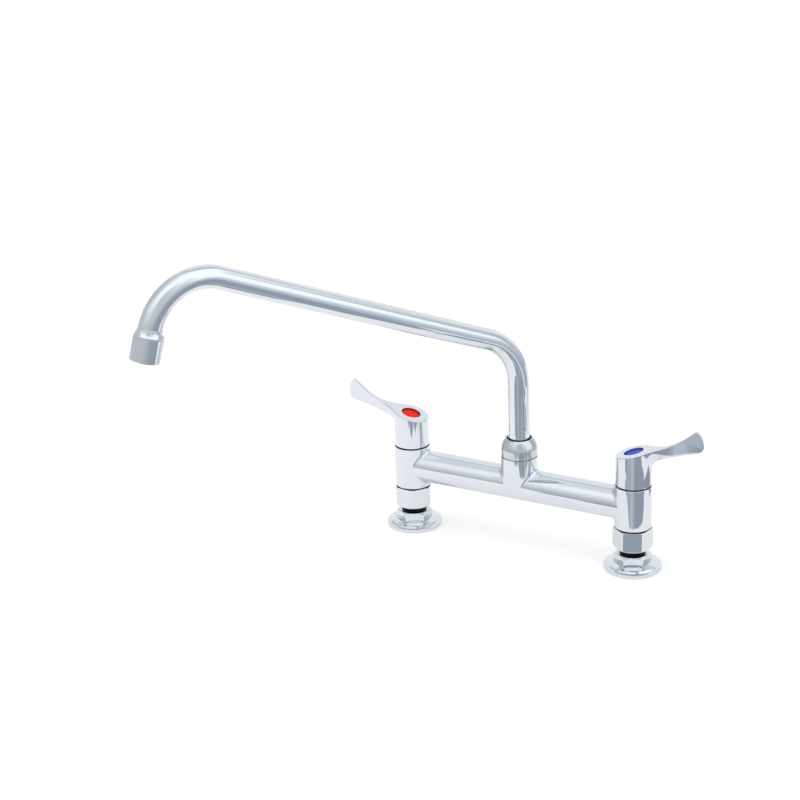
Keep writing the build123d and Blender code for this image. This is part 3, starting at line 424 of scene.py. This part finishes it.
def nut(name, leg_x, turn, half_flats, bottom, top, foot, crown, bores, columns=360):
    """Grid of a nut: up the outside, over a small round, in along the top, and down the stepped bore."""
    angle = around(columns)[None, :]
    low = bottom + edge_round + np.linspace(0, chamfer_length, chamfer_rows)
    high = top - edge_round - np.linspace(chamfer_length, 0, chamfer_rows)
    height = np.concatenate((low, np.linspace(low[-1], high[0], edge_rows)[1:-1], high))[:, None]
    cone = np.minimum(foot + (height - bottom) / chamfer_slope, crown + (top - height) / chamfer_slope)
    side = soft_least(hexagon_radius(angle, half_flats, turn), cone, arris_blend)
    side_height = np.broadcast_to(height, side.shape)
    swing = np.linspace(0, np.pi / 2, edge_rows)[1:, None]
    over = side[-1] - edge_round * (1 - np.cos(swing))
    over_height = np.broadcast_to(top - edge_round + edge_round * np.sin(swing), over.shape)
    under = side[0] - edge_round * (1 - np.cos(swing[::-1]))
    under_height = np.broadcast_to(bottom + edge_round - edge_round * np.sin(swing[::-1]), under.shape)
    loop = ((half_flats, top), *bores, (half_flats, bottom))
    outside_points = bore_steps + 1
    inside = rounded(loop, [bore_round] * len(loop), bore_steps)[outside_points:-outside_points]
    inner = np.broadcast_to(inside[:, :1], (len(inside), columns))
    inner_height = np.broadcast_to(inside[:, 1:], inner.shape)
    radius = np.concatenate((under, side, over, inner)) * mm
    level = np.concatenate((under_height, side_height, over_height, inner_height)) * mm
    points = np.stack((leg_x * mm + radius * np.cos(angle), radius * np.sin(angle), level), axis=-1)
    piece = skin(name, points)
    piece.data.materials.append(turned_chrome)
    return piece


# %% [markdown]
# ## The two legs
# From the deck up, a leg is a flange, a lock nut, a few bare turns of thread and a union nut. The nuts were
# tightened one by one, so each stands at its own angle, read from the photograph. One function makes all
# four, because only their sizes and angles differ.

# %% Lock nuts and union nuts
leg_reach = 101.5
flange_height, lock_top = 6.0, 13.8
union_bottom, union_top, union_shoulder = 18.3, 36.3, 26.5
lock_half_flats, lock_foot, lock_crown, lock_bore_radius = 13.5, 14.8, 12.9, 10.6
union_half_flats, union_foot, union_crown = 14.4, 13.5, 15.3
union_throat, union_chamber = 10.9, 13.15
lock_bore = ((lock_bore_radius, lock_top), (lock_bore_radius, flange_height))
union_bore = (
    *((union_chamber, union_top), (union_chamber, union_shoulder)),
    *((union_throat, union_shoulder), (union_throat, union_bottom)),
)
lock_form = (lock_half_flats, flange_height, lock_top, lock_foot, lock_crown, lock_bore)
union_form = (union_half_flats, union_bottom, union_top, union_foot, union_crown, union_bore)
# For each leg: its place along the bridge, and the turns of its lock nut and its union nut in degrees.
legs = {"hot": (-leg_reach, 30.0, 54.0), "cold": (leg_reach, 25.5, 22.0)}
for side, (leg_x, lock_turn, union_turn) in legs.items():
    lock = nut(f"{side}_lock_nut_skin", leg_x, lock_turn, *lock_form)
    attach(lock, "body")
    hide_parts(f"{side}_lock_nut")
    union = nut(f"{side}_union_nut_skin", leg_x, union_turn, *union_form)
    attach(union, "body")
    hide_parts(f"{side}_union_nut")
    print(side, "nuts:", len(lock.data.polygons), "and", len(union.data.polygons), "faces")

# %% [markdown]
# ## Inlet tails
# Each tail is threaded over its whole outside, and 4.5 mm of that thread is bare between the nuts. A thread
# is a helix cut into a rod. A Screw modifier could wind a tooth up the rod, but its ends would need
# joining. As a function of height and angle the tail is one closed grid: the radius is full at the crest
# and less by the thread's depth at the root, and the phase of that ridge is height over pitch less angle
# over a full turn.

# %% Threaded tails
thread_pitch, thread_depth, thread_radius = 1.814, 0.95, 10.48
rows_per_turn = 12
flank_gain, crest_share = 1.35, 0.175
tail_chamfer, tail_foot_radius = 0.3, 9.3
thread_end, thread_runout = 26.2, 1.2
collar_bottom, collar_top, collar_radius = 26.5, 30.0, 12.6
waterway_radius, inlet_radius, inlet_depth = 6.5, 7.475, 12.0
tail_collar = (
    *((thread_radius, collar_bottom), (collar_radius, collar_bottom), (collar_radius, collar_top)),
    *((waterway_radius, collar_top), (waterway_radius, inlet_depth), (inlet_radius, inlet_depth)),
)
tail_mouth = ((inlet_radius, tail_chamfer), (inlet_radius + tail_chamfer, 0.0), (tail_foot_radius, 0.0))


def threaded_tail(name, leg_x, columns=96):
    """Closed grid: up the threaded outside, round the collar, down the waterway and the inlet's bore. The cut
    below the crest is the depth times a clipped zigzag of the phase."""
    angle = around(columns)[None, :]
    thread_height = np.arange(tail_chamfer, thread_end, thread_pitch / rows_per_turn)
    collar = rounded(tail_collar, [tail_chamfer] * len(tail_collar), 3)
    mouth = np.array(tail_mouth)
    rod = np.full(len(thread_height), thread_radius)
    radius = np.concatenate((rod, collar[:, 0], mouth[:, 0]))[:, None]
    level = np.concatenate((thread_height, collar[:, 1], mouth[:, 1]))[:, None]
    fade = np.interp(thread_height, (thread_end - thread_runout, thread_end), (1, 0))
    depth = np.concatenate((fade * thread_depth, np.zeros(len(collar) + len(mouth))))[:, None]
    phase = level / thread_pitch - angle / (2 * np.pi)
    zigzag = np.abs(2 * (phase - np.floor(phase)) - 1)
    radius = (radius - depth * np.clip(flank_gain * zigzag - crest_share, 0, 1)) * mm
    level = np.broadcast_to(level * mm, radius.shape)
    return skin(name, np.stack((leg_x * mm + radius * np.cos(angle), radius * np.sin(angle), level), axis=-1))


for side, (leg_x, _, _) in legs.items():
    tail = threaded_tail(f"{side}_threaded_tail", leg_x)
    # The tail's near-black finish carries painted shade from the nuts round the bare thread.
    tail.data.materials.append(dark_thread)
    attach(tail, "body")
    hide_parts(f"{side}_inlet_nipple")
    print(side, "tail:", len(tail.data.polygons), "faces")

# %% [markdown]
# ## Turned pieces
# The deck flange is a disc with a groove for its gasket underneath. Its top rises from a flat rim over two
# slopes to the flat seat of the lock nut. The seam above the union nut is a thin black ring. Both could be
# stacked from cylinders, but an outline carried round the leg's axis keeps the rounds between them. An
# outline runs anticlockwise in radius and height.

# %% Flanges and seam rings
flange_bore, flange_radius, flange_rim = 10.53, 23.5, 3.2
gasket_inner, gasket_outer, gasket_depth = 16.5, 21.5, 1.4
slope_foot, slope_middle, slope_top = (21.4, 3.3), (19.3, 4.47), (14.2, flange_height)
flange_corners = (
    *((flange_bore, 0), (gasket_inner, 0), (gasket_inner, gasket_depth)),
    *((gasket_outer, gasket_depth), (gasket_outer, 0), (flange_radius, 0), (flange_radius, flange_rim)),
    *(slope_foot, slope_middle, slope_top, (flange_bore, flange_height)),
)
flange_rounds = (*[0.2] * 5, 0.4, 0.5, 1.2, 0.9, 0.6, 0.2)
seam_radius, seam_top, seam_round = 15.0, 37.3, 0.35
seam_corners = (
    *((union_chamber, union_top), (seam_radius, union_top)),
    *((seam_radius, seam_top), (union_chamber, seam_top)),
)
for side, (leg_x, _, _) in legs.items():
    outline = rounded(flange_corners, flange_rounds)
    flange = skin(f"{side}_flange_skin", turned(outline, (leg_x * mm, 0, 0), columns=192))
    flange.data.materials.append(turned_chrome)
    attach(flange, "body")
    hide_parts(f"{side}_deck_flange")

    outline = rounded(seam_corners, [seam_round] * 4)
    seam = skin(f"{side}_seam_ring", turned(outline, (leg_x * mm, 0, 0), columns=160))
    seam.data.materials.append(black_rubber)
    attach(seam, "body")
    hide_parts(f"{side}_union_seal")
print("flange:", len(flange.data.polygons), "faces; seam:", len(seam.data.polygons), "faces")

# %% [markdown]
# ## Spout nut
# The nut at the spout's foot has a straight skirt and a crown that closes in on the tube. The crown could
# be drawn as a row of points. It is one arc instead, because three points that can be read from the
# photograph fix it: its foot, its waist and its mouth. The nut's finish is duller than the rest, as on a
# nut that is tumbled and not buffed.

# %% Spout nut
nut_foot, nut_top, nut_skirt, nut_waist = 81.8, 97.2, 6.7, 11.2
skirt_radius, waist_radius, mouth_radius = 15.3, 13.7, 10.9
nut_mouth_bore, nut_roof, nut_chamber = 9.9, 93.0, 13.45
crown_foot, crown_waist = (skirt_radius, nut_foot + nut_skirt), (waist_radius, nut_foot + nut_waist)
crown_points = 28
crown = arc_through(crown_foot, crown_waist, (mouth_radius, nut_top), crown_points)
nut_inside = (
    *((nut_mouth_bore, nut_top), (nut_mouth_bore, nut_roof), (nut_chamber, nut_roof)),
    *((nut_chamber, nut_foot), (skirt_radius, nut_foot)),
)
nut_rounds = (0.15, 0.15, 0.15, 0.15, 0.35)
bore = rounded(nut_inside, nut_rounds)
spout_nut = skin("spout_nut_skin", turned(np.concatenate((crown, bore)), (0, 0, 0), columns=192))
spout_nut.data.materials.append(satin_chrome)
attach(spout_nut, "body")
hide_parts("spout_nut")
print("spout nut:", len(spout_nut.data.polygons), "faces")

# %% [markdown]
# ## Spout
# The spout is one drawn tube with two bends. A curve with a round bevel could draw it, but its handles only
# come near a true arc. The tube's line is known from its heading: straight up, over the first bend, out
# along the rise, over the second bend and down. Between two stations the tube turns by a known angle, so
# each step is a chord of that arc, and adding the steps up gives the line exactly. A ring of points is then
# carried along it. Where a bender pulls a tube round, the section goes slightly oval, so the ring is
# squeezed in the plane of the bend.

# %% Spout line
spout_swing = np.radians(29.05)
spout_out = np.array((-np.sin(spout_swing), -np.cos(spout_swing), 0.0))
upright = np.array((0.0, 0.0, 1.0))
across_spout = np.cross(upright, spout_out)
spout_foot, riser_top, run_length, outlet_length = 67.0, 144.0, 250.4, 4.4
run_slope, outlet_slope = 22.65, -74.5
headings = np.radians((90.0, 90.0, run_slope, run_slope, outlet_slope, outlet_slope))
riser_bend, tip_bend = 48.0, 42.5
lengths = np.array(
    (
        riser_top - spout_foot,
        riser_bend * (headings[1] - headings[2]),
        run_length,
        tip_bend * (headings[3] - headings[4]),
        outlet_length,
    )
)
knots = np.concatenate(((0,), np.cumsum(lengths)))


def stations(counts):
    """Distances along the tube, each stretch divided into its own number of equal steps."""
    parts = [np.linspace(a, b, count, endpoint=False) for a, b, count in zip(knots[:-1], knots[1:], counts)]
    return np.concatenate(parts + [knots[-1:]])


def tube_line(way):
    """Distance out and height along the tube, and its heading: each step is the chord of its arc."""
    heading = np.interp(way, knots, headings)
    turn = np.diff(heading)
    chord = np.diff(way) * np.sinc(turn / (2 * np.pi))
    middle = (heading[1:] + heading[:-1]) / 2
    out = np.concatenate(((0,), np.cumsum(chord * np.cos(middle))))
    height = spout_foot + np.concatenate(((0,), np.cumsum(chord * np.sin(middle))))
    return out, height, heading


outlet_steps = 4
way = stations((24, 56, 60, 72, outlet_steps))
out, height, heading = tube_line(way)
print("spout tube:", round(knots[-1]), "mm long, reaches", round(out[-1]), "mm out")

# %% Spout tube
tube_radius, tube_bore, tube_columns = 9.0, 8.0, 96
ovalness = 0.012
# Each bend's oval comes in round its start and goes out round its end, over these distances in mm.
riser_fade, tip_fade = (-10, 10, -10, 10), (-10, 10, -14, -2)
bend_share = np.interp(way, knots[[1, 1, 2, 2]] + riser_fade, (0, 1, 1, 0))
bend_share += np.interp(way, knots[[3, 3, 4, 4]] + tip_fade, (0, 1, 1, 0))
squeeze = 1 - ovalness * bend_share
angle = around(tube_columns)
line = (out[:, None] * spout_out + height[:, None] * upright) * mm
lift = -np.sin(heading)[:, None] * spout_out + np.cos(heading)[:, None] * upright


def tube_rings(radius):
    """Rings round the tube's line: radius cos a along the lift, squeezed, and radius sin a across."""
    upward = (radius * mm * squeeze)[:, None, None] * np.cos(angle)[:, None] * lift[:, None, :]
    sideways = radius * mm * np.sin(angle)[:, None] * across_spout
    return line[:, None, :] + upward + sideways[None]


tube = skin("spout_tube_skin", np.concatenate((tube_rings(tube_radius)[::-1], tube_rings(tube_bore))))
tube.data.materials.append(tube_chrome)
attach(tube, "spout")
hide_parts("spout_tube")
print("spout tube:", len(tube.data.polygons), "faces")

# %% [markdown]
# ## Outlet
# A flared nose is brazed to the end of the tip bend, and the aerator's shell screws on to it. Both are
# turned, so they are outlines again. They could be made upright and tilted afterwards, but a finished piece
# keeps its place in its mesh, so they are carried round the line on which the water flows. Heights count
# along that line from the end of the bend.

# %% Outlet nose and aerator
tip_out, tip_height = out[-1 - outlet_steps], height[-1 - outlet_steps]
tip = (tip_out * spout_out + tip_height * upright) * mm
flow = np.cos(headings[-1]) * spout_out + np.sin(headings[-1]) * upright
nose_start, nose_root, nose_socket = -1.2, 9.3, 9.02
flare_end, nose_rim, flare_middle = 4.2, 11.2, (9.83, 1.73)
rim_back, nose_thread, nose_end, nose_bore = 5.24, 10.1, 10.4, 8.0
flare_points, nose_round = 14, 0.1
nose_flare = arc_through((nose_rim, flare_end), flare_middle, (nose_root, nose_start), flare_points)
nose_corners = (
    *((nose_socket, nose_start), (nose_socket, outlet_length), (nose_bore, outlet_length)),
    *((nose_bore, nose_end), (nose_thread, nose_end), (nose_thread, rim_back), (nose_rim, rim_back)),
)
nose_back = rounded(nose_corners, [nose_round] * len(nose_corners))
nose = skin("outlet_nose_skin", turned(np.concatenate((nose_flare, nose_back)), tip, flow, columns=160))
nose.data.materials.append(turned_chrome)
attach(nose, "spout")
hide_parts("outlet_nose")

shell_start, shell_end, shell_bore, shell_radius = 5.3, 23.2, 10.15, 11.35
lip_start, lip_radius = 22.0, 9.4
shell_corners = (
    *((shell_bore, shell_start), (shell_radius, shell_start), (shell_radius, shell_end)),
    *((lip_radius, shell_end), (lip_radius, lip_start), (shell_bore, lip_start)),
)
shell_rounds = (0.1, 0.12, 0.9, 0.4, 0.2, 0.1)
shell = skin("aerator_shell_skin", turned(rounded(shell_corners, shell_rounds), tip, flow, columns=160))
shell.data.materials.append(turned_chrome)
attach(shell, "spout")
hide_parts("aerator_shell")
print("outlet:", len(nose.data.polygons) + len(shell.data.polygons), "faces")

# %% [markdown]
# ## Studio
# Chrome has no look of its own: it is a picture of the room. A photograph of a room could stand round the
# object, but plain sheets whose levels are simple functions are easier to read and to change. The sky comes
# first. It is plain white to the camera and in reflections and a little dimmer as a lamp, so the background
# stays white with no more light on the object.

# %% Sky
scene.view_settings.view_transform = "Standard"
world = bpy.data.worlds.new("studio_sky")
world.use_nodes = True
scene.world = world
sky_tree = world.node_tree
sky = sky_tree.nodes["Background"]
sky.inputs["Color"].default_value = (1, 1, 1, 1)


def seen_rays(tree, path):
    """One for camera, glossy and transmission rays, and nothing for the rays that carry light."""
    total = path.outputs["Is Camera Ray"]
    for kind in ("Is Glossy Ray", "Is Transmission Ray"):
        larger = tree.nodes.new("ShaderNodeMath")
        larger.operation = "MAXIMUM"
        tree.links.new(total, larger.inputs[0])
        tree.links.new(path.outputs[kind], larger.inputs[1])
        total = larger.outputs["Value"]
    return total


sky_light = 0.8
sky_seen = seen_rays(sky_tree, sky_tree.nodes.new("ShaderNodeLightPath"))
sky_tree.links.new(spread(sky_tree, sky_seen, sky_light, 1.0, 0, 1), sky.inputs["Strength"])
print("sky as a lamp:", sky_light)

# %% [markdown]
# ## Floor and lamp
# The tap stands on a white sheet. A hidden floor that keeps only a shadow would need compositing, so this
# is paper, lit evenly, with the shadow kept. It has a faint glow of its own for the camera and in
# reflections, which brings it up to white. A soft lamp hangs overhead, a little to the left and in front.
# It gives the shadow its direction and stays out of the reflections.

# %% Floor and lamp


def sheet(name, rows, columns, place, levels=None):
    """Open grid of points from a place function of two arrays, each running from 0 to 1. Levels, another such
    function, becomes a glow attribute on the points."""
    first, second = np.meshgrid(np.linspace(0, 1, rows), np.linspace(0, 1, columns), indexing="ij")
    points = np.stack(np.broadcast_arrays(*place(first, second)), axis=-1).reshape(-1, 3)
    quads = grid_faces(rows, columns).reshape(rows, columns, 4)[:-1, :-1].reshape(-1, 4)
    mesh = bpy.data.meshes.new(name)
    mesh.from_pydata(points.tolist(), [], quads.tolist())
    if levels is not None:
        values = np.broadcast_to(levels(first, second), first.shape).reshape(-1)
        glow = mesh.attributes.new("glow", "FLOAT", "POINT")
        glow.data.foreach_set("value", values.astype(np.float32))
        print(name, "levels:", round(float(values.min()), 2), "to", round(float(values.max()), 2))
    mesh.polygons.foreach_set("use_smooth", np.ones(len(mesh.polygons), dtype=bool))
    stage_piece = bpy.data.objects.new(name, mesh)
    scene.collection.objects.link(stage_piece)
    return stage_piece


floor_reach = 7.0
floor = sheet("floor", 2, 2, lambda a, b: (floor_reach * (2 * b - 1), floor_reach * (2 * a - 1), 0 * a))
paper, paper_tree, paper_shader = new_material("white_paper")
paper_shader.inputs["Base Color"].default_value = (0.86, 0.86, 0.86, 1)
paper_shader.inputs["Roughness"].default_value = 0.9
paper_shader.inputs["Specular IOR Level"].default_value = 0.1
paper_shader.inputs["Emission Color"].default_value = (1, 1, 1, 1)
seen_glow, camera_glow = 0.23, 0.06
paper_path = paper_tree.nodes.new("ShaderNodeLightPath")
paper_sum = paper_tree.nodes.new("ShaderNodeMath")
seen_share = spread(paper_tree, seen_rays(paper_tree, paper_path), 0, seen_glow, 0, 1)
camera_share = spread(paper_tree, paper_path.outputs["Is Camera Ray"], 0, camera_glow, 0, 1)
paper_tree.links.new(seen_share, paper_sum.inputs[0])
paper_tree.links.new(camera_share, paper_sum.inputs[1])
paper_tree.links.new(paper_sum.outputs["Value"], paper_shader.inputs["Emission Strength"])
floor.data.materials.append(paper)

key_light = bpy.data.lights.new("overhead_softbox", "AREA")
key_light.shape = "RECTANGLE"
key_light.size = 1.6
key_light.size_y = 1.2
key_light.energy = 9.0
key = bpy.data.objects.new("overhead_softbox", key_light)
key.location = (-0.5, -0.5, 1.8)
key_aim = Vector((0.5, 0.5, -1.75))
key.rotation_euler = key_aim.to_track_quat("-Z", "Y").to_euler()
key.visible_glossy = False
scene.collection.objects.link(key)
print("floor and lamp:", floor.name, key.name)

# %% [markdown]
# ## Tent
# Chrome is photographed in a tent of cloth, so that every side of it mirrors something plain. This tent is
# a dome that shows in reflections only. One level all over would leave the tubes flat and grey. So the
# cloth is light grey round the sides and brighter overhead, with a bright window and a duller post on the
# right, a duller part behind the camera, and a pale half and a dull half behind the tap. Each of these is a
# smooth step in azimuth and elevation, which is why the bands on the tube are soft. Azimuths are in degrees
# and count from the cold side, and the camera stands at about -64.

# %% Level helpers


def glowing(name, piece, tint):
    """Give a sheet a glow that follows its own attribute, and show it in reflections only."""
    material = bpy.data.materials.new(name)
    material.use_nodes = True
    tree = material.node_tree
    tree.nodes.clear()
    level = tree.nodes.new("ShaderNodeAttribute")
    level.attribute_name = "glow"
    light = tree.nodes.new("ShaderNodeEmission")
    light.inputs["Color"].default_value = (*tint, 1)
    output = tree.nodes.new("ShaderNodeOutputMaterial")
    tree.links.new(level.outputs["Fac"], light.inputs["Strength"])
    tree.links.new(light.outputs["Emission"], output.inputs["Surface"])
    material.cycles.emission_sampling = "NONE"
    piece.data.materials.append(material)
    piece.visible_camera = False
    piece.visible_diffuse = False
    piece.visible_transmission = False
    piece.visible_shadow = False
    piece.visible_volume_scatter = False


def ramp(value, start, end):
    """Smooth step from 0 at start to 1 at end."""
    share = np.clip((value - start) / (end - start), 0, 1)
    return share * share * (3 - 2 * share)


def within(value, low, high, soft):
    """One between low and high, fading over a soft distance outside them."""
    return ramp(value, low - soft, low) * (1 - ramp(value, high, high + soft))


def toward(level, target, share):
    """The level moved a share of the way to a target."""
    return level + (target - level) * share


# %% Tent
tent_radius = 6.0
side_level, window_level, crown_level = 0.60, 1.32, 1.25
camera_level, post_level = 0.70, 0.66
pale_back, shaded_back = 1.0, 0.74
dull_back, dull_back_top = 0.68, 0.92
# For each part of the cloth: its first and last azimuth, and the width over which it fades outside them.
camera_part, window_part, post_part, pale_part = (-66, -54, 28), (-8, 24, 14), (36, 60, 7), (72, 146, 12)


def tent_place(rise, sweep):
    """Dome: elevation runs from the floor to straight up, azimuth round from -180 to 180 degrees."""
    elevation, azimuth = np.radians(90 * rise), np.radians(360 * sweep - 180)
    flat = tent_radius * np.cos(elevation)
    return flat * np.cos(azimuth), flat * np.sin(azimuth), tent_radius * np.sin(elevation)


def cloth_levels(elevation, azimuth):
    """Cloth that brightens upwards, duller round the camera, with a window and a duller post on the right."""
    level = toward(side_level, window_level, ramp(elevation, -6, 60))
    camera_band = ramp(elevation, 4, 26) * (1 - ramp(elevation, 36, 60))
    level = toward(level, camera_level, within(azimuth, *camera_part) * camera_band)
    level = toward(level, window_level, within(azimuth, *window_part) * ramp(elevation, -8, 22))
    return toward(level, post_level, within(azimuth, *post_part) * (1 - ramp(elevation, 26, 46)))


def back_levels(elevation, azimuth, level):
    """Behind the tap: pale cloth up to a slanting edge on the right, and dull cloth on the left."""
    top = 34 + 0.5 * np.clip(azimuth - 82, 0, 46) - 17 * ramp(azimuth, 132, 142)
    pale = toward(pale_back, shaded_back, ramp(elevation, top - 3, top + 3))
    level = toward(level, pale, within(azimuth, *pale_part))
    edge = 128 - 0.3 * elevation
    left = ramp(azimuth, 144, 156) + ramp(-azimuth, edge, edge + 48)
    return toward(level, toward(dull_back, dull_back_top, ramp(elevation, 42, 74)), left)


def tent_levels(rise, sweep):
    """The cloth all round, and the plain bright crown over it."""
    elevation, azimuth = 90 * rise, 360 * sweep - 180
    level = back_levels(elevation, azimuth, cloth_levels(elevation, azimuth))
    return toward(level, crown_level, ramp(elevation, 70, 86))


tent = sheet("tent", 91, 241, tent_place, tent_levels)
glowing("tent_cloth", tent, (0.95, 0.985, 1.0))

# %% [markdown]
# ## Dark table
# Upright chrome looks down at the table round it and shows the table's dark part as blue-grey bands. That
# part starts 17 to 25 cm from the tap's middle in front, 38 cm on the right and 85 cm behind. A dark floor
# would be in the picture, so this is a ring a millimetre over the paper that shows in reflections only, and
# the camera sees white paper all the way. One paler strip crosses it.

# %% Dark table
apron_front, apron_behind, apron_end = 0.25, 0.85, 6.0
apron_lift = 0.001
card_tint = (0.93, 1.03, 1.16)
apron_level, strip_level = 0.41, 0.56
# Where the near edge comes in or moves out, as azimuths and a fading width, and by how many metres.
tongue, tongue_tip, right_part = (-92, -20, 8), (-62, -34, 8), (-14, 36, 6)
tongue_reach, tip_reach, right_retreat = 0.055, 0.03, 0.13
strip_part = (-75, -69, 7)


def apron_reach(share, azimuth):
    """Distance from the middle, growing by equal factors from the near edge to the end. The near edge goes by
    azimuth: near in front, with a tongue that comes nearer, further off on the right, and far off behind."""
    front = ramp(azimuth, -118, -106) * (1 - ramp(azimuth, 42, 50))
    near_edge = toward(apron_behind, apron_front, front)
    near_edge = near_edge - tongue_reach * within(azimuth, *tongue) - tip_reach * within(azimuth, *tongue_tip)
    near_edge = near_edge + right_retreat * within(azimuth, *right_part)
    return near_edge * (apron_end / near_edge) ** share


def apron_place(share, sweep):
    """Ring just over the floor, all round the tap."""
    azimuth = 360 * sweep - 180
    reach = apron_reach(share, azimuth)
    return reach * np.cos(np.radians(azimuth)), reach * np.sin(np.radians(azimuth)), apron_lift + 0 * share


def apron_levels(share, sweep):
    """Dark near its edge and paler far off, at both ends and in one strip."""
    azimuth = 360 * sweep - 180
    reach = apron_reach(share, azimuth)
    far = np.log2(reach)
    left_end = 0.11 * (1 - ramp(azimuth, -104, -92))
    right_end = (0.17 + 0.06 * ramp(far, -1, 0.5)) * ramp(azimuth, -26, -6) - 0.08 * ramp(azimuth, 8, 16)
    level = apron_level + 0.15 * ramp(far, -0.5, 2.5) + left_end + right_end
    return toward(level, strip_level, within(azimuth, *strip_part) * (1 - ramp(reach, 0.35, 0.5)))


apron = sheet("table_edge", 60, 361, apron_place, apron_levels)
glowing("table_edge_dark", apron, card_tint)

# %% [markdown]
# ## Dark cards
# White chrome on white paper has no edges, so dark cards are put beside it for a picture. Three upright,
# curved cards stand 50 and 75 mm from the axis of the cold leg, before it and beside its hub. They give the
# dark bands on the column, the hub and the union nut. Cards so near would be in the picture, so they show
# in reflections only. Darker paint on the pieces could give the bands too, but it would turn with the
# handle, and a reflection doesn't. A point of the leg mirrors an upright card lower by the distance times
# the slope of the camera's view.

# %% Dark cards


def arc_card(name, centre, card_reach, outline, levels):
    """Upright arc round an axis: x = reach cos azimuth, y = reach sin azimuth. Each row of the outline is a
    height in mm and the azimuths of the two edges there, in degrees. Between rows the edges run evenly."""
    heights, left, right = np.transpose(outline)

    def azimuths(share, sweep):
        height = heights[0] + (heights[-1] - heights[0]) * share
        first, last = np.interp(height, heights, left), np.interp(height, heights, right)
        return first + (last - first) * sweep, height

    def place(share, sweep):
        azimuth, height = azimuths(share, sweep)
        across, along = np.cos(np.radians(azimuth)), np.sin(np.radians(azimuth))
        return (centre + card_reach * across) * mm, card_reach * along * mm, height * mm

    card = sheet(name, 60, 87, place, lambda share, sweep: levels(azimuths(share, sweep)[0]))
    glowing(name + "_dark", card, card_tint)


def column_levels(azimuth):
    """Grey on the left, one pale strip, then dark on the right."""
    level = toward(0.50, 0.39, ramp(azimuth, -68, -56))
    return toward(level, 0.62, within(azimuth, -78, -71, 6))


def flat_level(level):
    """The same level all over a card."""
    return lambda azimuth: level + 0 * azimuth


column_outline = (
    *((13, -84, -40), (17, -90, -14), (30, -95, -6), (42, -103, -6), (48, -116, -4)),
    *((53, -116, -4), (61, -106, -7), (70, -95, -21), (85, -92, -26)),
)
hub_outline = (
    *((36, 41, 43), (42, 34, 50), (46, 22, 50), (47.5, -4, 50)),
    *((55, -4, 49), (58, 8, 46), (62, 18, 37), (66, 27, 30)),
)
arc_card("column_card", leg_reach, 75, column_outline, column_levels)
arc_card("nut_card", leg_reach, 50, ((0.5, -84, -56), (21.5, -84, -56)), flat_level(0.42))
arc_card("hub_card", leg_reach, 75, hub_outline, flat_level(0.37))
